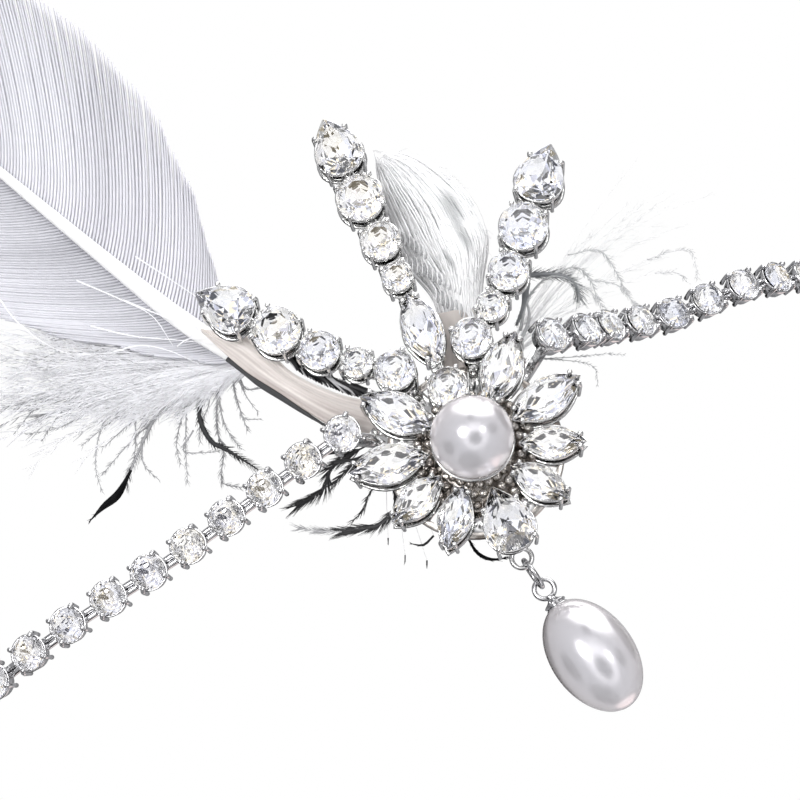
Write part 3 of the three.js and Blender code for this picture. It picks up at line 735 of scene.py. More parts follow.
def make_settings():
    """The plate, spines, arms, loop and strap, and a collar with claws for each stone."""
    build = Build()
    add_plate(build)
    places = stone_places()
    for name in ("ray_centre", "ray_left", "ray_right"):
        stops = [ORIGIN] + [place for node, _, place, _ in places if node.startswith(name)]
        for start, end in zip(stops, stops[1:]):
            add_bar(build, start, end, SPINE_WIDTH, -PLATE_THICKNESS, 0.1, MEDALLION_MATRIX)
    for seat in CHAIN_SEATS.values():
        add_bar(build, (0, 0), seat, SPINE_WIDTH, -PLATE_THICKNESS, 0, MEDALLION_MATRIX)
    for _, size, place, heading in places:
        girdle = SEAT_HEIGHT + stone_width(size) * PAVILION_SHARE
        matrix = stone_matrix(place, heading, 0)
        add_collar(build, size, matrix, COLLAR_START, girdle - COLLAR_GAP, COLLAR_FLARE)
        base_rim = LOW_PEAR_BASE_RIM if size == "low_pear" else BASE_RIM
        add_collar(build, size, matrix, -PLATE_THICKNESS, BASE_TOP, BASE_FLARE, BASE_WALL, base_rim)
        for turn in PRONG_ANGLES[STONE_SIZES[size][0]]:
            add_prong(build, size, turn * math.pi, matrix, girdle)
    build.add(*torus(Vector(LOOP_PLACE), Z_AXIS, LOOP_RADIUS, LOOP_WIRE), place=MEDALLION_MATRIX)
    build.add(*lathe(PEG_PROFILE, ORIGIN), 1, place=MEDALLION_MATRIX)
    height, radius, wire = PEARL_WIRE
    build.add(*torus(Vector((0, 0, height)), Z_AXIS, radius, wire), place=MEDALLION_MATRIX)
    for radius, height, size, count in BEAD_RINGS:
        for bead in range(count):
            way = heading_vector(360 * bead / count) * radius
            build.add(*ball(way + Vector((0, 0, height)), size, 8, 6), 1, place=MEDALLION_MATRIX)
    add_strap(build)
    build.finish("medallion_metal", [silver, dull_silver], "headband", ["medallion_frame"])


def make_pearl():
    build = Build()
    build.add(*ball(MEDALLION_MATRIX @ Vector((0, 0, PEARL_HEIGHT)), PEARL_RADIUS, 64, 40))
    build.finish("centre_pearl_round", [pearl], "headband", ["centre_pearl"])


# Drop


def hang_matrix():
    """Where the ring bears on the loop, with the swing of the drop."""
    swing = math.radians(DROP_SWING)
    loop = MEDALLION_MATRIX @ Vector(LOOP_PLACE)
    pivot = loop + Vector((math.sin(swing), 0, -math.cos(swing))) * LOOP_RADIUS
    return Matrix.Translation(pivot) @ Matrix.Rotation(-swing, 4, "Y")


def make_drop():
    """The jump ring, the cap with its eye and the drop pearl, each where its plain one is."""
    matrix = hang_matrix()
    ring_centre = WIRE_PLAY - RING_RADIUS
    build = Build()
    build.add(*torus(Vector((0, 0, ring_centre)), X_AXIS, RING_RADIUS, RING_WIRE), place=matrix)
    build.finish("jump_ring_wire", [cup_silver], "ring", ["jump_ring"])

    eye = ring_centre - RING_RADIUS + WIRE_PLAY - LOOP_RADIUS
    cap_top = eye - LOOP_RADIUS + LOOP_WIRE / 2
    build = Build()
    build.add(*torus(Vector((0, 0, eye)), Y_AXIS, LOOP_RADIUS, LOOP_WIRE), place=matrix)
    build.add(*lathe(CAP_PROFILE[::-1], Vector((0, 0, cap_top))), place=matrix)
    build.finish("drop_cap_turned", [cup_silver], "drop", ["drop_cap"])

    centre = cap_top - CAP_PEARL_DEPTH - DROP_LENGTH / 2
    build = Build()
    build.add(*ball(Vector((0, 0, centre)), DROP_WIDTH / 2, 64, 48, DROP_LENGTH), place=matrix)
    build.finish("drop_pearl_oval", [pearl], "drop", ["drop_pearl"])


# Cup chain


def chain_points(route, seat, side):
    start = MEDALLION_MATRIX @ Vector((*seat, CHAIN_SEAT_GAP))
    end = CLASP + Vector((side * CLASP_REACH, -CUP_HEIGHT / 2, 0))
    return curve_through([start, *route, end], CHAIN_PITCH)


def make_chain(name, route, start, side):
    """Cups with claws and stones, joined by links at their backs."""
    places = chain_points(route, start, side)
    metal = Build()
    stones = Build()
    for number, place in enumerate(places):
        matrix = outward_matrix(place, way_at(places, number).normalized())
        add_collar(metal, "cup", matrix, 0.0, CUP_HEIGHT - 0.05, flare=0.78, wall=0.3, rim=0.24, sides=24)
        floor = [level_ring(ORIGIN, height, CUP_FLOOR_RADIUS, 16) for height in (0, CUP_FLOOR)]
        metal.add(*skin(floor), place=matrix)
        for corner in range(4):
            angle = math.pi / 4 + corner * math.pi / 2
            add_prong(metal, "cup", angle, matrix, CUP_HEIGHT, wire=0.3, rise=0.55, tip=0.36, bottom=0.3)
        # Each stone sits a little tilted and turned in its cup, so that no two sparkle alike
        tilt = Matrix.Rotation(CUP_TILT + CUP_TILT_STEP * (number * 5 % 4), 4, "Y")
        turn = Matrix.Rotation(CUP_TURN_STEP * (number % 3), 4, "Z")
        seat = matrix @ Matrix.Translation((0, 0, CUP_HEIGHT))
        add_gem(stones, "cup", seat @ (tilt @ turn), CUP_PAVILION)
    for number in range(1, len(places)):
        before, place = places[number - 1], places[number]
        along = (place - before).normalized()
        matrix = outward_matrix(before.lerp(place, 0.5), along)
        half = (place - before).length / 2
        for offset in (-LINK_OFFSET, LINK_OFFSET):
            path = []
            for step in LINK_STEPS:
                path.append(Vector((step * half, offset, LINK_HEIGHT + 0.1 * (1 - step * step))))
            metal.add(*tube(path, [LINK_WIRE] * len(path), 8), place=matrix)
    metal.finish(name + "_cups", [cup_silver], "headband", [name])
    stones.finish(name + "_stones", [crystal, foil], "headband")


# Feathers


def feather_heading(share):
    bend = min(1.0, share / ROOT_BEND_SHARE)
    return ROOT_HEADING + ROOT_BEND * bend * bend + FEATHER_TURN * share


FEATHER_STEPS = 400
feather_spine = [Vector((*FEATHER_ROOT, 0))]
for step in range(FEATHER_STEPS):
    direction = heading_vector(feather_heading((step + 0.5) / FEATHER_STEPS))
    feather_spine.append(feather_spine[-1] + direction * (FEATHER_LENGTH / FEATHER_STEPS))


def feather_point(share):
    """A point of the big feather's spine."""
    at = max(0.0, min(1.0, share)) * FEATHER_STEPS
    low = min(FEATHER_STEPS - 1, int(at))
    return feather_spine[low].lerp(feather_spine[low + 1], at - low)


def vane_width(share, column):
    for number in range(1, len(VANE_SECTIONS)):
        before, after = VANE_SECTIONS[number - 1], VANE_SECTIONS[number]
        if share <= after[0]:
            part = max(0.0, (share - before[0]) / (after[0] - before[0]))
            part = part * part * (3 - 2 * part) * 0.35 + part * 0.65
            return FEATHER_HALF_WIDTH * (before[column] + (after[column] - before[column]) * part)
    return 0.0


def vane_spot(share, sideways, lift=0.0):
    """A place on the cupped vane, sideways in millimetres, lifted towards the front."""
    point = feather_point(share)
    across = heading_vector(feather_heading(share) + 90)
    depth = FEATHER_DEPTH + FEATHER_LEAN_BACK * share**2 + VANE_CUP * (sideways / FEATHER_HALF_WIDTH) ** 2
    spot = point + across * sideways
    return Vector((spot.x, spot.y, -depth + lift))


def quill_radius(share):
    return QUILL_RADIUS * (1 - 0.65 * share)


def quill_width(share):
    for before, after in zip(QUILL_WIDTHS, QUILL_WIDTHS[1:]):
        if share <= after[0]:
            return before[1] + (after[1] - before[1]) * (share - before[0]) / (after[0] - before[0])
    return QUILL_WIDTHS[-1][1]


def make_quill():
    """The quill: broad and flat towards the root, fine towards the tip."""
    build = Build()
    rings = []
    for number in range(QUILL_STEPS + 1):
        share = number / QUILL_STEPS
        spot = vane_spot(share, 0, QUILL_LIFT)
        across = heading_vector(feather_heading(share) + 90)
        height = min(quill_radius(share), quill_width(share))
        ring = []
        for corner in range(QUILL_SIDES):
            angle = math.tau * corner / QUILL_SIDES
            sideways = across * (math.cos(angle) * quill_width(share))
            ring.append(spot + sideways + Vector((0, 0, math.sin(angle) * height)))
        rings.append(ring)
    build.add(*skin(rings), place=FEATHER_MATRIX)
    build.finish("large_feather_quill", [quill_white], "headband", ["large_feather"])


def add_ribbon(build, path, halves, tones):
    """A flat barb whose one edge and underside are darkened as a painted shade line, tilted a little like a
    shingle.
    """
    rings = []
    shades = []
    for number, point in enumerate(path):
        along = way_at(path, number)
        across = Vector((-along.y, along.x, 0)).normalized() * halves[number]
        rise = Vector((0, 0, BARB_THICKNESS))
        lean = Vector((0, 0, BARB_TILT))
        rings.append([point - across + lean, point + rise, point + across - lean, point - rise])
        # Painted shade: the raised edge and the underside are darker, drawing a shade line between
        # neighbouring barbs.
        shaded = tones[number] * BARB_EDGE_PAINTED_SHADE
        shades += [shaded, tones[number], tones[number], shaded]
    build.add(*skin(rings), place=FEATHER_MATRIX, shades=shades)


def barb_path(start, side, slant, jitter):
    """A barb from the quill to the vane's edge."""
    column = 1 if side < 0 else 2
    low, end = start, 1.0
    for _ in range(12):
        middle = (low + end) / 2
        if (middle - start) * FEATHER_LENGTH * math.tan(math.radians(slant)) < vane_width(middle, column):
            low = middle
        else:
            end = middle
    width = vane_width(min(0.999, end), column) * (1 + jitter)
    path = []
    for step in range(BARB_STEPS + 1):
        part = step / BARB_STEPS
        along = start + (end - start) * part**1.25
        path.append(vane_spot(min(1.0, along), side * max(0.3, width * part**0.95), BARB_LIFT))
    return path


def vane_tone(side, share, part):
    """How light a barb is: its side, its place along the feather and across the vane."""
    if side > 0:
        tone = 0.9 - 0.26 * part * part
    else:
        # Painted shadow: the lower vane is darkest next to the quill and lightens away from it.
        tone = 0.46 + 0.3 * min(1.0, part * 1.6)
    tone += 0.05 * math.sin(share * 41) + 0.03 * math.sin(share * 97 + 2 * part)
    return tone if part < 0.93 else 1.0


def make_large_feather():
    """The quill, and both vanes as rows of flat barbs."""
    chance = random.Random(5)
    make_quill()
    build = Build()
    parts = [step / BARB_STEPS for step in range(BARB_STEPS + 1)]
    halves = [BARB_HALF_WIDTH * (1 - 0.55 * part**6) for part in parts]
    for side in (-1, 1):
        for number in range(BARBS_A_SIDE):
            start = VANE_START + (VANE_END - VANE_START) * number / (BARBS_A_SIDE - 1)
            slant = max(30, 50 - 70 * max(0.0, start - 0.32)) if side > 0 else 42 - 14 * start
            path = barb_path(start, side, slant, chance.uniform(-0.012, 0.006))
            light = chance.uniform(-0.05, 0.05)
            tones = [vane_tone(side, start, part) + light for part in parts]
            add_ribbon(build, path, halves, tones)
    build.finish("large_feather_barbs", [vane_barbs], "headband")


# Loose strands: steps, wander of their headings and spread of their hairs, in degrees
STRAND_STEPS = 9
STRAND_WANDER = 2.5
STRAND_FUZZ_SPREAD = 24


def strand(start, heading, turn, reach, depth, lean):
    """A curved strand in the feathers' plane."""
    path = [Vector((start[0], start[1], -depth))]
    length = reach / STRAND_STEPS
    for step in range(STRAND_STEPS):
        direction = heading_vector(heading + turn * (step + 0.5) / STRAND_STEPS)
        path.append(path[-1] + direction * length + Vector((0, 0, -lean * reach / STRAND_STEPS)))
    return path


def fuzz(build, path, chance, radius, length, count, spread, tone):
    """Fine barbules on both sides of a strand."""
    last = len(path) - 1
    for _ in range(count):
        at = chance.uniform(0.08, 1.0) * last
        low = min(last - 1, int(at))
        point = path[low].lerp(path[low + 1], at - low)
        along = (path[low + 1] - path[low]).normalized()
        side = chance.choice((-1, 1))
        turn = Quaternion((0, 0, 1), side * math.radians(chance.uniform(spread * 0.6, spread * 1.3)))
        direction = turn @ along
        direction.z += chance.uniform(-0.12, 0.12)
        reach = length * chance.uniform(0.5, 1.1)
        bend = along * reach * 0.35
        spots = [point, point + direction * reach * 0.5 + bend * 0.2, point + direction * reach + bend]
        points, faces = tube(spots, [radius, radius * 0.8, radius * 0.25], 3)
        shades = [tone * chance.uniform(0.75, 1.1)] * len(points)
        build.add(points, faces, place=FEATHER_MATRIX, shades=shades)


def add_strands(build, chance, rows, count, radius, tones, fuzz_length, fuzz_count):
    """Strands spread between neighbouring rows of: start, heading, turn, reach, depth and lean."""
    for _ in range(count):
        at = chance.uniform(0, len(rows) - 1)
        low = min(len(rows) - 2, int(at))
        part = at - low
        blend = [a + (b - a) * part for a, b in zip(rows[low], rows[low + 1])]
        x, y, heading, turn, reach, depth, lean = blend
        reach *= chance.uniform(0.72, 1.06)
        heading += chance.gauss(0, STRAND_WANDER)
        turn += chance.gauss(0, STRAND_WANDER * 3.5)
        tone = chance.choice(tones) * chance.uniform(0.85, 1.1)
        # Darker strands lie deeper; in the tuft they are painted shade among the lighter ones.
        depth += 0.5 * (1 - tone) + chance.uniform(-0.12, 0.12)
        root = (x + chance.gauss(0, 0.25), y + chance.gauss(0, 0.25))
        path = strand(root, heading, turn, reach, depth, lean)
        thick = radius * chance.uniform(0.7, 1.3)
        radii = [thick * (1 - 0.8 * step / STRAND_STEPS) for step in range(STRAND_STEPS + 1)]
        points, faces = tube(path, radii, 3)
        build.add(points, faces, place=FEATHER_MATRIX, shades=[tone] * len(points))
        fuzz(build, path, chance, thick * 0.5, fuzz_length, fuzz_count, STRAND_FUZZ_SPREAD, tone)


# The gap between the points of a lock, in millimetres
LOCK_STEP = 0.6


def add_lock(build, chance, points, depth, thick, tone, hair=0.0, hairs=0, taper=0.3, swell=0.0, spread=40):
    """One chosen strand through points of the feathers' plane, with fine hairs; swell thickens its middle."""
    path = flat_curve(points, LOCK_STEP, depth)
    last = len(path) - 1
    radii = []
    for number in range(last + 1):
        part = number / last
        radii.append(thick * (1 - (1 - taper) * part + swell * math.sin(math.pi * part) ** 2))
    tube_points, faces = tube(path, radii, 6)
    build.add(tube_points, faces, place=FEATHER_MATRIX, shades=[tone] * len(tube_points))
    if hairs:
        fuzz(build, path, chance, HAIR_RADIUS, hair, int(hairs * last * LOCK_STEP), spread, tone)


# Rows of strands: x, y, heading, turn, reach, depth, lean
DOWN_ROWS = [
    (-18.3, 25.8, -46, -8, 33, 6.0, 0.01),
    (-18.2, 25.6, -56, -12, 36, 6.0, 0.01),
    (-18.1, 25.4, -64, -12, 35, 6.1, 0.01),
    (-18.0, 25.4, -71, -10, 29, 6.2, 0.01),
    (-18.0, 25.4, -77, -9, 20, 6.3, 0.01),
    (-18.0, 25.4, -83, -8, 12, 6.3, 0.01),
    (-17.9, 25.4, -88, -8, 6, 6.3, 0.01),
]
# Loose strands of the tuft: thickness, lightness, length and count of hairs a millimetre, points
DOWN_LOCKS = [
    (0.27, 0.32, 1.1, 9, [(-30.5, 26.5), (-33.7, 24.2), (-37.1, 21.4), (-39.5, 19.1)]),
    (0.14, 0.36, 0.6, 4, [(-33.0, 29.5), (-34.0, 27.1), (-35.4, 24), (-37.1, 21.4)]),
    (0.14, 0.36, 0.6, 4, [(-27.5, 26.2), (-30.4, 25.7), (-36.0, 24.2), (-41.3, 22.1)]),
    (0.11, 0.43, 0.5, 4, [(-37.5, 28.5), (-39.7, 26.2), (-41.5, 23), (-42.0, 20.1)]),
    (0.12, 0.36, 0.5, 4, [(-34.5, 24), (-35.9, 20.8), (-35.1, 17.9)]),
    (0.12, 0.36, 0.6, 6, [(-25.5, 27.5), (-27.1, 25.8), (-30, 20.8), (-32.2, 16.0)]),
    (0.12, 0.36, 0.6, 6, [(-27.5, 25.5), (-29.2, 23.6), (-31.2, 21), (-31.9, 18.5)]),
    (0.15, 0.25, 0.7, 9,
     [(-21.5, 26), (-23.5, 24.4), (-26.0, 19.8), (-26.3, 17.6), (-28.4, 13.8), (-26.6, 12.1)]),
    (0.12, 0.36, 0.5, 4, [(-28.5, 21.6), (-30.8, 19.9), (-28.5, 18.3), (-26.7, 17.6)]),
    (0.14, 0.29, 0.6, 6, [(-20.9, 25.6), (-21.7, 23.4), (-22.3, 20.4), (-22.6, 18.2)]),
    (0.11, 0.32, 0.5, 4, [(-20.8, 26), (-20.6, 24.8), (-20.7, 22), (-20.4, 19.6)]),
    (0.11, 0.36, 0.4, 4, [(-22.4, 20.5), (-22.3, 19.8), (-21.3, 19.1), (-20.4, 18.7)]),
    (0.12, 0.22, 0.5, 4, [(-20.3, 24.8), (-20.3, 23.1), (-17.4, 21.6), (-16.9, 20.3)]),
    (0.14, 0.4, 0.6, 4, [(-41, 34.6), (-44.3, 34.2), (-48.5, 32.4)]),
    (0.12, 0.4, 0.6, 4, [(-39, 30.2), (-42.8, 30.3), (-47.1, 31.6)]),
    (0.11, 0.4, 0.5, 4, [(-39.5, 32.5), (-42.5, 31.7), (-45.8, 29.8)]),
    (0.14, 0.36, 0.6, 4, [(-34, 28.4), (-37.0, 27.8), (-41.7, 26.8)]),
    (0.12, 0.36, 0.6, 4, [(-33, 26.8), (-36.5, 26), (-39.5, 25.2)]),
    (0.12, 0.36, 0.6, 6, [(-24, 26), (-25.3, 23.6), (-27.8, 21.4), (-28.4, 19.8)]),
    (0.12, 0.32, 0.6, 6, [(-22.5, 26), (-24.2, 22.6), (-24.8, 19.4), (-24.4, 16.4)]),
]
# Long light strands that lie over the big feather: points
LIGHT_LOCKS = [
    [(-32.4, 44.9), (-28.5, 39.6), (-26.2, 35.9), (-25.7, 31.2)],
    [(-42.0, 48.1), (-41.4, 44.0), (-39.7, 39.8), (-37.5, 36.8), (-32.8, 34.1)],
    [(-32.7, 34.2), (-29.2, 33.2), (-26.4, 30.8), (-23.9, 27.3)],
    [(-25.3, 30.8), (-23.8, 31.0), (-21.3, 29.8)],
    [(-28.4, 39.6), (-24.5, 34.5), (-21.2, 30.6)],
    [(-33.5, 38.6), (-29.5, 34.8), (-25, 31.6), (-20.8, 28.6)],
    [(-24.5, 44), (-21.8, 38.6), (-19.3, 33.4)],
]
# How deep the loose strands of the tuft, the light ones and the dark ones lie
DOWN_DEPTH = 6.9
LIGHT_DEPTH = 2.6
DARK_DEPTH = 7.2
# Dark strands: depth, thickness, lightness, swell, length and count of hairs, points
TUFT_DARK_LOCKS = [
    (6.2, 0.2, 0.0, 2.0, 0.5, 4, [(-37.6, 20.7), (-40.5, 18.7), (-42.8, 18.2), (-45.1, 17.4)]),
    (6.8, 0.24, 0.06, 0.6, 1.0, 14,
     [(-24.3, 25.9), (-26.9, 23.1), (-27.2, 19.2), (-26.0, 17.2), (-23.8, 13.1)]),
]
DARK_LOCKS = [
    (DARK_DEPTH, 0.12, 0.1, 0.5, 1.6, 44,
     [(-10.5, 9.2), (-13.5, 9.2), (-16.0, 8.8), (-17.6, 7.1), (-21.8, 6.7)]),
    (DARK_DEPTH, 0.1, 0.12, 0.4, 1.1, 24, [(-11.0, 8.4), (-14.0, 7.8), (-16.7, 6.9)]),
    (DARK_DEPTH, 0.12, 0.12, 0.5, 1.5, 40, [(-10.8, 0.6), (-13.9, -0.4), (-16.0, 0.2), (-18.5, 1.1)]),
    (DARK_DEPTH, 0.1, 0.7, 0.2, 1.1, 14, [(-18.5, 1.1), (-20.6, 2.4), (-23.0, 4.2)]),
    (DARK_DEPTH, 0.1, 0.08, 0.3, 0.8, 10, [(-11.5, 4.6), (-13.6, 3.4), (-14.9, 2.2), (-17.0, 1.5)]),
    (DARK_DEPTH, 0.14, 0.05, 0.5, 0.4, 4, [(-8.9, -4.9), (-10.6, -5.3), (-11.9, -4.3)]),
    (DARK_DEPTH, 0.15, 0.0, 0.9, 0.6, 8, [(-5.4, -7.2), (-5.3, -9.4), (-4.3, -10.9), (-2.0, -11.9)]),
    (DARK_DEPTH, 0.1, 0.05, 0.3, 0.3, 3, [(-13.9, -2.4), (-14.3, -3.2)]),
    (DARK_DEPTH, 0.08, 0.05, 0.3, 0.3, 3, [(-13.1, -5.3), (-13.6, -6.2)]),
    (DARK_DEPTH, 0.1, 0.05, 0.3, 0.3, 3, [(-11.1, -7.2), (-11.6, -8.1)]),
    (DARK_DEPTH, 0.16, 0.04, 0.5, 0.8, 14, [(-10.2, 3.4), (-10.5, 2.1), (-12.1, -0.8)]),
    (5.6, 0.3, 0.05, 0.4, 0.8, 8, [(-16.0, 10.6), (-13.2, 9.6), (-10.3, 9.4), (-6.9, 9)]),
    (5.6, 0.2, 0.1, 0.4, 0.8, 8, [(-15.2, 8.9), (-12.2, 7.8), (-8.5, 8.2)]),
    # Painted shadow: a dark strand laid along the cream web's lower edge.
    (2.4, 0.36, 0.1, 0.6, 0.5, 16,
     [(-20.6, 26.2), (-19.5, 23.6), (-18.6, 21.4), (-17.0, 18.4), (-15.4, 15.1), (-13.6, 11.7)]),
]
# The dark hatch over the cream web: its ridge from the tip to the root, as x and y
HATCH_RIDGE = [(-15.4, 23.2), (-14.6, 21.4), (-12.7, 18.0), (-11.5, 16.3), (-9.8, 14.2), (-7.0, 11.9)]
HATCH_DEPTH = 0.7
HATCH_STROKES = 46
# Thin light strands that hold the loose dark bits: points
DARK_HOLDERS = [
    [(-6.9, 9), (-10.6, 4), (-13.9, -2.4)],
    [(-6.9, 9), (-10.4, 1.5), (-13.1, -5.3)],
    [(-6.9, 9), (-9.5, 0.5), (-11.1, -7.2)],
    [(-6.9, 9), (-7.8, 2), (-8.9, -4.9)],
    [(-6.9, 9), (-6.2, 1), (-5.4, -7.2)],
    [(-6.9, 9), (-9.2, 4.2), (-10.8, 0.6)],
    [(-6.9, 9), (-9.2, 6.4), (-11.5, 4.6)],
]


def make_down():
    chance = random.Random(11)
    build = Build()
    # The grey strands (0.5) are painted shade among the white ones.
    tones = (1.15, 1.1, 1.05, 1.0, 0.5)
    add_strands(build, chance, DOWN_ROWS, 260, 0.15, tones, fuzz_length=1.9, fuzz_count=24)
    for thick, tone, hair, hairs, points in DOWN_LOCKS:
        add_lock(build, chance, points, DOWN_DEPTH, thick, tone, hair, hairs)
    for points in LIGHT_LOCKS:
        add_lock(build, chance, points, LIGHT_DEPTH, 0.1, 1.05, 0.4, 1)
    build.finish("down_tuft_barbs", [down_barbs], "headband", ["down_tuft"])
    dark = Build()
    for depth, thick, tone, swell, hair, hairs, points in TUFT_DARK_LOCKS:
        add_lock(dark, chance, points, depth, thick, tone, hair, hairs, 0.35, swell)
    dark.finish("down_tuft_dark_tips", [dark_barbs], "headband")


# The curled plume's two edges from its tip down, as x and y
CURL_LEFT = [(8.1, 41.4), (6.2, 35.9), (5.1, 29.9), (4.5, 25.6), (5.2, 20.4), (4.6, 16.4), (5.6, 11)]
CURL_RIGHT = [(8.1, 41.4), (12.4, 38.2), (14.9, 33.2), (15.6, 29.4), (15.1, 24.1), (11.3, 18.6), (7.2, 11)]
# Hollows of the plume, darkened with painted shade: place, half width, half height
CURL_HOLLOWS = [(12.9, 29.6, 1.5, 3.2), (12.3, 25.4, 0.9, 3.2), (9.3, 23.4, 0.5, 2.2)]
# Ribs of the plume's lower left: start, end, length of the teeth
CURL_RIBS = [
    ((5.1, 28.7), (7.1, 24.4), 1.7),
    ((4.2, 25.2), (8.4, 18.5), 1.9),
    ((5.2, 19.6), (7.3, 15.6), 1.9),
]
CURL_DEPTH = 2.6
CURL_BULGE = 1.2
CURL_RIB_STEP = 0.36
CURL_RIB_WAY = Vector((0.45, 0.89, 0))
HOLLOW_PAINTED_SHADE = 0.36


# Painted shade: strands and the backing sheet darken inside each hollow.
def hollow_painted_shade(x, y):
    tone = 1.0
    for centre_x, centre_y, half_width, half_height in CURL_HOLLOWS:
        away = ((x - centre_x) / half_width) ** 2 + ((y - centre_y) / half_height) ** 2
        tone *= HOLLOW_PAINTED_SHADE + (1 - HOLLOW_PAINTED_SHADE) * min(1.0, away)
    return tone


def make_curled_plume():
    """A bulb of translucent barbs that flow from edge to edge, with painted shade in its hollows and a comb
    of ribs.
    """
    chance = random.Random(12)
    build = Build()
    left = flat_curve(CURL_LEFT, LOCK_STEP)
    right = flat_curve(CURL_RIGHT, LOCK_STEP)
    steps = 30

    def spot(part, share, lift):
        one = left[round(part * (len(left) - 1))]
        other = right[round(part * (len(right) - 1))]
        place = one.lerp(other, share)
        bulge = CURL_BULGE * math.sin(math.pi * share) * math.sin(math.pi * part)
        return Vector((place.x, place.y, -CURL_DEPTH + bulge + lift))

    for number in range(CURL_STRANDS):
        share = (number + chance.uniform(-0.4, 0.4)) / CURL_STRANDS
        first, last = chance.uniform(0, 0.25), chance.uniform(0.8, 1.0)
        waver = chance.uniform(-0.05, 0.05)
        path = []
        tones = []
        light = chance.choice((1.08, 1.08, 1.0, 0.86))
        for step in range(steps + 1):
            part = first + (last - first) * step / steps
            here = min(1.0, max(0.0, share + waver * math.sin(math.tau * part)))
            path.append(spot(part, here, chance.uniform(0, 0.02)))
            tones.append(light * hollow_painted_shade(path[-1].x, path[-1].y))
        halves = [0.17 * (1 - abs(2 * step / steps - 1) ** 4) + 0.03 for step in range(steps + 1)]
        add_ribbon(build, path, halves, tones)
        if number % 3 == 0:
            fuzz(build, path, chance, HAIR_RADIUS, length=1.1, count=26, spread=35, tone=light)
    rows, columns = 40, 16
    rings = []
    for row in range(2, rows - 1):
        front = [spot(row / rows, part / columns, -0.2) for part in range(columns + 1)]
        back = [spot(row / rows, part / columns, -0.3) for part in range(columns + 1)]
        rings.append(front + back[::-1])
    points, faces = skin(rings)
    tones = [hollow_painted_shade(point.x, point.y) for point in points]
    build.add(points, faces, place=FEATHER_MATRIX, shades=tones)
    for start, end, length in CURL_RIBS:
        start, end = Vector((*start, 0)), Vector((*end, 0))
        count = round((end - start).length / CURL_RIB_STEP)
        for number in range(count):
            foot = start.lerp(end, number / count)
            tip = foot + CURL_RIB_WAY * length * chance.uniform(0.8, 1.1)
            tone = 0.35 if number % 2 else 0.9
            points = [(foot.x, foot.y), ((foot.x + tip.x) / 2 + 0.15, (foot.y + tip.y) / 2), (tip.x, tip.y)]
            add_lock(build, chance, points, CURL_DEPTH - 0.9, 0.1, tone, taper=0.6)
    # The lift of 0.4 is painted light: it lightens the cream sheet where the stones shade it.
    add_cream_sheet(build, CURL_QUILL_LEFT, CURL_QUILL_RIGHT, 1.2, 0.4, 1)
    materials = [plume_barbs, quill_cream]
    build.finish("curled_plume_barbs", materials, "headband", ["curled_plume"])


# Barbs of the right plume, and two strands of painted shadow: thickness, lightness, length and count of hairs
# a millimetre, points
RIGHT_LOCKS = [
    (0.3, 0.3, 0.5, 6, [(10.0, 9.6), (12.4, 10.6), (14.5, 12.7), (15.3, 16.4)]),
    # Painted shadow: a grey strand along the shade below the right ray.
    (0.2, 0.35, 0.7, 6, [(12.5, 11.4), (15.5, 14.6), (19.3, 15.6), (21.3, 13.3), (20.5, 10.6)]),
    (0.13, 0.4, 0.8, 8, [(19.3, 15.8), (22.5, 15.1), (23.2, 13.2), (22.8, 10.6), (22.7, 9.0)]),
    (0.1, 0.45, 0.7, 7, [(20.2, 14.6), (21.2, 13.3), (22.5, 11.5), (22.6, 9.7)]),
    (0.1, 0.45, 0.7, 7, [(22.4, 17), (26.1, 15.5), (26.4, 11.9), (26.2, 9.3), (26.4, 6.5)]),
    # Painted shadow: a black strand along the same shade.
    (0.34, 0.0, 1.3, 22,
     [(15.6, 17.6), (17.6, 16.8), (19.6, 15.7), (20.9, 14.5), (21.3, 12.8), (20.8, 11.1)]),
    (0.5, -0.1, 0.5, 10, [(16.2, 16.4), (15.4, 15.3), (14.4, 13.9), (12.4, 12.2)]),
    (0.1, 0.5, 0.6, 6, [(22.9, 13), (24.3, 11.9), (25.6, 10.7), (26.1, 8.8), (26.4, 6.4)]),
    (0.08, 0.6, 0.6, 5, [(30.5, 11.6), (33.6, 11), (35.7, 9.9), (35.4, 8.3), (34.5, 6.1)]),
    (0.08, 0.65, 0.6, 5, [(30.4, 9.6), (32.9, 8.2), (33.2, 6.8)]),
    (0.08, 0.3, 0.4, 4, [(11, 8), (15, 5.6), (18.0, 2.8), (17.2, 0.5)]),
    (0.08, 0.35, 0.4, 4, [(11, 8), (16, 5.4), (20.4, 3.4), (22.0, 2.3)]),
]
# Faint white strands of the right plume: x, y, heading, turn, reach, depth, lean
RIGHT_ROWS = [
    (10, 9.6, 46, 30, 20, 2.6, 0.02),
    (10, 9.4, 56, 34, 34, 2.6, 0.02),
    (10, 9.2, 66, 30, 26, 2.6, 0.02),
    (10, 9.0, 80, 26, 14, 2.6, 0.02),
]


def make_right_plume():
    chance = random.Random(13)
    build = Build()
    add_strands(build, chance, RIGHT_ROWS, 34, 0.06, (1.0, 1.0), fuzz_length=1.2, fuzz_count=10)
    for thick, tone, hair, hairs, points in RIGHT_LOCKS:
        add_lock(build, chance, points, LIGHT_DEPTH, thick, tone, hair, hairs)
    build.finish("right_plume_barbs", [plume_barbs], "headband", ["right_plume"])


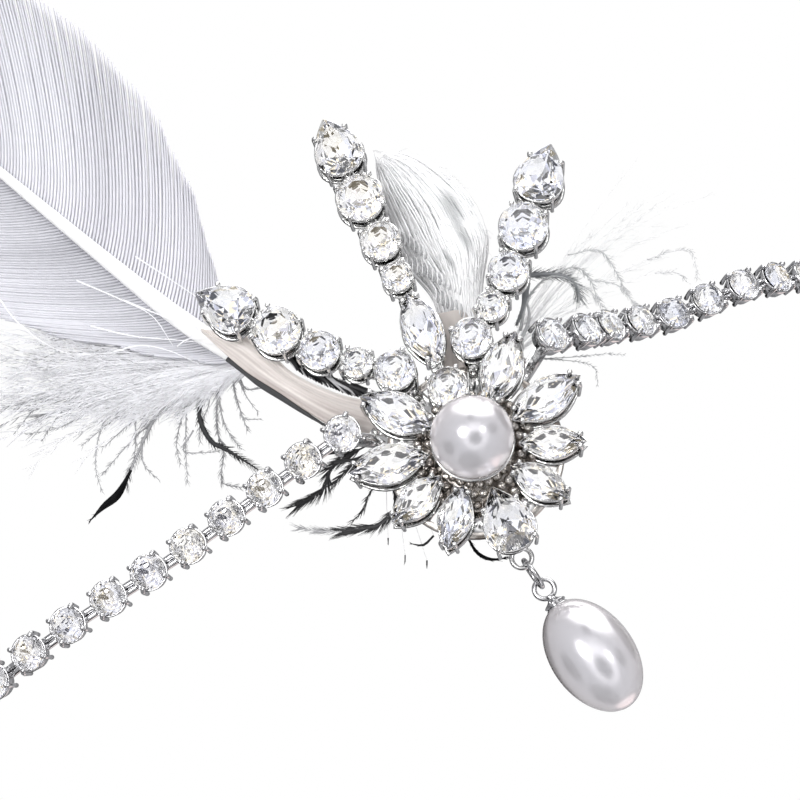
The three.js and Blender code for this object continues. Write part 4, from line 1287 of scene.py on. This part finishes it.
def make_dark_plume():
    chance = random.Random(14)
    build = Build()
    for depth, thick, tone, swell, hair, hairs, points in DARK_LOCKS:
        add_lock(build, chance, points, depth, thick, tone, hair, hairs, 0.3, swell, 26)
    for points in DARK_HOLDERS:
        add_lock(build, chance, points, DARK_DEPTH, 0.06, 1.1)
    ridge = flat_curve(HATCH_RIDGE, 0.4)
    for number in range(HATCH_STROKES):
        start = number / HATCH_STROKES * 0.8
        tone = 0.75 if number % 5 == 0 else chance.uniform(0.0, 0.12)
        points = []
        for step in range(5):
            part = start + (0.24 + 0.1 * start) * step / 4
            spot = ridge[min(len(ridge) - 1, round(part * (len(ridge) - 1)))]
            away = (1 - step / 4) ** 0.7 * chance.uniform(0.8, 1.1)
            points.append((spot.x + 1.05 * away, spot.y + 0.8 * away))
        add_lock(build, chance, points, HATCH_DEPTH + chance.uniform(0, 0.5), 0.2, tone, taper=0.4, swell=0.3)
    build.finish("dark_plume_barbs", [dark_barbs], "headband", ["dark_plume"])


# Cream sheets, each by its two edges from the feather down, as x and y
WEB_TOP = [(-21.6, 31.0), (-16.6, 26.9), (-14.4, 20.4), (-11.6, 16.2), (-8.6, 13.1), (-4.4, 10.0)]
WEB_LOW = [(-21.8, 30.7), (-19.4, 23.6), (-17.0, 18.9), (-15.4, 15.6), (-13.6, 12.2), (-11.2, 8.6)]
WEB_DEPTH = 1.3
CURL_QUILL_LEFT = [(2.6, 18.5), (2.0, 15.3), (0.9, 11.9), (0.6, 9.5)]
CURL_QUILL_RIGHT = [(7.8, 17.0), (7.4, 14.4), (5.4, 11.4), (3.6, 9.0)]


def add_cream_sheet(build, one_edge, other_edge, depth, lift=0.0, slot=0):
    """A bulging sheet between two edges, with streaks along it, a band of painted shadow and painted shadow
    towards its second edge; lift is painted light for a sheet that lies in shade.
    """
    chance = random.Random(15)
    top = flat_curve(one_edge, 0.5)
    low = flat_curve(other_edge, 0.5)
    columns = 24
    streaks = []
    for part in range(columns + 1):
        streaks.append(0.86 + 0.08 * math.sin(2.3 * part) + chance.uniform(-0.09, 0.07))
    rings, tones = [], []
    for row in range(41):
        share = row / 40
        one = top[round(share * (len(top) - 1))]
        other = low[round(share * (len(low) - 1))]
        line, tone = [], []
        for part in range(columns + 1):
            across = part / columns
            spot = one.lerp(other, across)
            bulge = 0.7 * math.sin(math.pi * across) + 0.12 * math.sin(across * 19)
            line.append(Vector((spot.x, spot.y, -depth - 0.7 + bulge)))
            # Painted shadow: the tone falls off towards the second edge, less so with more lift.
            edge = max(0.0, (across - 0.72) / 0.28) * min(1.0, share * 2.4)
            shadow = 0.45 * max(0.0, 1 - ((across - 0.55) / 0.2) ** 2)
            shadow *= max(0.0, 1 - ((share - 0.75) / 0.22) ** 2)
            wave = 0.1 * math.sin(share * 11 + 0.5 * part)
            tone.append((streaks[part] + wave + lift - shadow) * (1 - (0.75 - lift) * edge))
        rings.append(line + [spot + Vector((0, 0, -0.25)) for spot in line[::-1]])
        tones += tone + tone[::-1]
    build.add(*skin(rings), slot, place=FEATHER_MATRIX, shades=tones)


def make_cream_web():
    """A broad, slightly translucent quill below the left ray."""
    build = Build()
    add_cream_sheet(build, WEB_TOP, WEB_LOW, WEB_DEPTH)
    build.finish("cream_quill_sheet", [quill_cream], "headband", ["cream_quill_web"])


def dress_clasp():
    """The clasp at the back keeps its own shape."""
    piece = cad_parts["clasp"]
    piece.data.materials.clear()
    piece.data.materials.append(cup_silver)


# Stage, light and camera


FLOOR_SIZE = 6
FLOOR_HEIGHT = -0.32


def make_stage():
    bpy.ops.mesh.primitive_plane_add(size=FLOOR_SIZE, location=(0, 0, FLOOR_HEIGHT))
    floor = bpy.context.object
    floor.name = "floor"
    material, _, _ = new_material("pale_floor", {"Base Color": (0.9, 0.9, 0.9, 1), "Roughness": 0.8})
    floor.data.materials.append(material)
    floor.visible_glossy = False


# Bright boxes round the object: heading from the front, height, width, softness, brightness, colour
STUDIO_BOXES = [
    (78, 56, 34, 0.35, 3.0, (1.0, 1.0, 1.0)),
    (4, -15, 30, 0.5, 1.4, (1.0, 0.99, 1.0)),
    (-20, 10, 11, 0.15, 9.0, (1.0, 1.0, 1.0)),
    (32, -8, 6, 0.2, 6.0, (1.0, 1.0, 1.0)),
    (166, -55, 20, 0.4, 1.3, (1.0, 0.86, 0.84)),
]
# Dark gaps between them: heading, height, width, softness
STUDIO_DARK = [
    (2, -22, 17, 0.5),
    (-80, -58, 26, 0.4),
    (62, -12, 12, 0.3),
    (-78, 0, 16, 0.4),
    (20, 34, 9, 0.3),
    (110, 10, 18, 0.3),
    (-150, 20, 25, 0.3),
]
STUDIO_BASE = 0.4
STUDIO_GAP = 0.03

# Cells of light and dark for the facets: distance in the cell, then the colour from there on
SPARKLE = [
    (0.0, (0.22, 0.22, 0.23)),
    (0.13, (0.5, 0.51, 0.54)),
    (0.22, (1.5, 1.5, 1.55)),
    (0.48, (0.72, 0.73, 0.86)),
    (0.55, (1.45, 1.3, 1.02)),
    (0.62, (0.24, 0.24, 0.25)),
    (0.65, (1.0, 1.04, 1.2)),
    (0.76, (1.6, 1.6, 1.6)),
]
SPARKLE_SCALE = 4.4


def heading_direction(heading, height):
    """A direction from the object, heading to the right of the front and up."""
    turn, rise = math.radians(heading), math.radians(height)
    return Vector((math.sin(turn) * math.cos(rise), -math.cos(turn) * math.cos(rise), math.sin(rise)))


def make_world():
    """White behind the object, a studio of boxes in smooth reflections, and cells of light in the facets."""
    world = bpy.data.worlds.new("studio")
    bpy.context.scene.world = world
    world.use_nodes = True
    tree = world.node_tree
    place = add_node(tree, "ShaderNodeTexCoord").outputs["Generated"]

    def patched(colour, heading, height, width, softness, bright):
        """The sky's colour with a round patch of another one in it."""
        inputs = {0: place, 1: heading_direction(heading, height)}
        dot = add_node(tree, "ShaderNodeVectorMath", inputs, operation="DOT_PRODUCT")
        mask = add_node(tree, "ShaderNodeMapRange", {
            "Value": dot.outputs["Value"],
            "From Min": math.cos(math.radians(width * (1 + softness))),
            "From Max": math.cos(math.radians(width * (1 - softness))),
        }, interpolation_type="SMOOTHSTEP")
        inputs = {0: mask.outputs["Result"], 6: colour, 7: (*bright, 1)}
        return add_node(tree, "ShaderNodeMix", inputs, data_type="RGBA").outputs[2]

    colour = (STUDIO_BASE, STUDIO_BASE, STUDIO_BASE * 1.03, 1)
    for *patch, power, tint in STUDIO_BOXES:
        colour = patched(colour, *patch, [power * part for part in tint])
    for patch in STUDIO_DARK:
        colour = patched(colour, *patch, [STUDIO_GAP] * 3)
    smooth = tree.nodes["Background"]
    tree.links.new(colour, smooth.inputs["Color"])

    cells = add_node(tree, "ShaderNodeTexVoronoi", {"Vector": place, "Scale": SPARKLE_SCALE})
    colour = add_ramp(tree, cells.outputs["Distance"], SPARKLE, "CONSTANT")
    sparkle = add_node(tree, "ShaderNodeBackground", {"Color": colour})
    white = add_node(tree, "ShaderNodeBackground", {"Color": (1, 1, 1, 1)})
    rays = add_node(tree, "ShaderNodeLightPath")
    sharp = add_node(tree, "ShaderNodeMixShader", {
        "Fac": rays.outputs["Is Singular Ray"],
        1: smooth.outputs["Background"],
        2: sparkle.outputs["Background"],
    })
    seen = add_node(tree, "ShaderNodeMixShader", {
        "Fac": rays.outputs["Is Camera Ray"],
        1: sharp.outputs["Shader"],
        2: white.outputs["Background"],
    })
    tree.links.new(seen.outputs["Shader"], tree.nodes["World Output"].inputs["Surface"])


# The key light: heading and height from the object, then distance and side in metres, and watts
KEY_WAY = (-18, 12)
KEY_DISTANCE = 0.6
KEY_SIZE = 0.12
KEY_POWER = 0.3


def make_lights():
    """A key before the upper left that models the feathers and pearls."""
    centre = MEDALLION * MM
    data = bpy.data.lights.new("key_box", "AREA")
    data.size = KEY_SIZE
    data.energy = KEY_POWER
    light = bpy.data.objects.new("key_box", data)
    bpy.context.scene.collection.objects.link(light)
    light.location = centre + heading_direction(*KEY_WAY) * KEY_DISTANCE
    light.rotation_euler = (centre - light.location).to_track_quat("-Z", "Y").to_euler()


def make_camera():
    azimuth = math.radians(CAMERA_AZIMUTH)
    elevation = math.radians(CAMERA_ELEVATION)
    roll = math.radians(CAMERA_ROLL)
    back = Vector((
        math.sin(azimuth) * math.cos(elevation),
        -math.cos(azimuth) * math.cos(elevation),
        math.sin(elevation),
    ))
    level = Vector((math.cos(azimuth), math.sin(azimuth), 0))
    upright = back.cross(level)
    right = level * math.cos(roll) + upright * math.sin(roll)
    up = -level * math.sin(roll) + upright * math.cos(roll)
    centre = MEDALLION_MATRIX @ Vector((0, 0, PEARL_HEIGHT))
    eye = centre + back * CAMERA_DISTANCE
    aim = centre - right * ((PEARL_PIXEL[0] - PICTURE_SIZE / 2) / PIXELS_PER_MM)
    aim = aim + up * ((PEARL_PIXEL[1] - PICTURE_SIZE / 2) / PIXELS_PER_MM)
    look_back = (eye - aim).normalized()
    look_right = up.cross(look_back).normalized()
    look_up = look_back.cross(look_right)
    data = bpy.data.cameras.new("camera")
    data.sensor_width = SENSOR_WIDTH
    data.lens = SENSOR_WIDTH * PIXELS_PER_MM * CAMERA_DISTANCE / PICTURE_SIZE
    data.clip_start, data.clip_end = CAMERA_CLIP
    camera = bpy.data.objects.new("camera", data)
    bpy.context.scene.collection.objects.link(camera)
    matrix = Matrix((look_right, look_up, look_back)).transposed().to_4x4()
    matrix.translation = eye * MM
    camera.matrix_world = matrix
    bpy.context.scene.camera = camera


make_stage()
make_world()
make_lights()
make_camera()
dress_clasp()
make_stones()
make_settings()
make_pearl()
make_drop()
make_chain("chain_left", ROUTE_LEFT, CHAIN_SEATS["left"], -1)
make_chain("chain_right", ROUTE_RIGHT, CHAIN_SEATS["right"], 1)
make_large_feather()
make_down()
make_curled_plume()
make_right_plume()
make_dark_plume()
make_cream_web()

bpy.context.scene.view_settings.view_transform = "Standard"
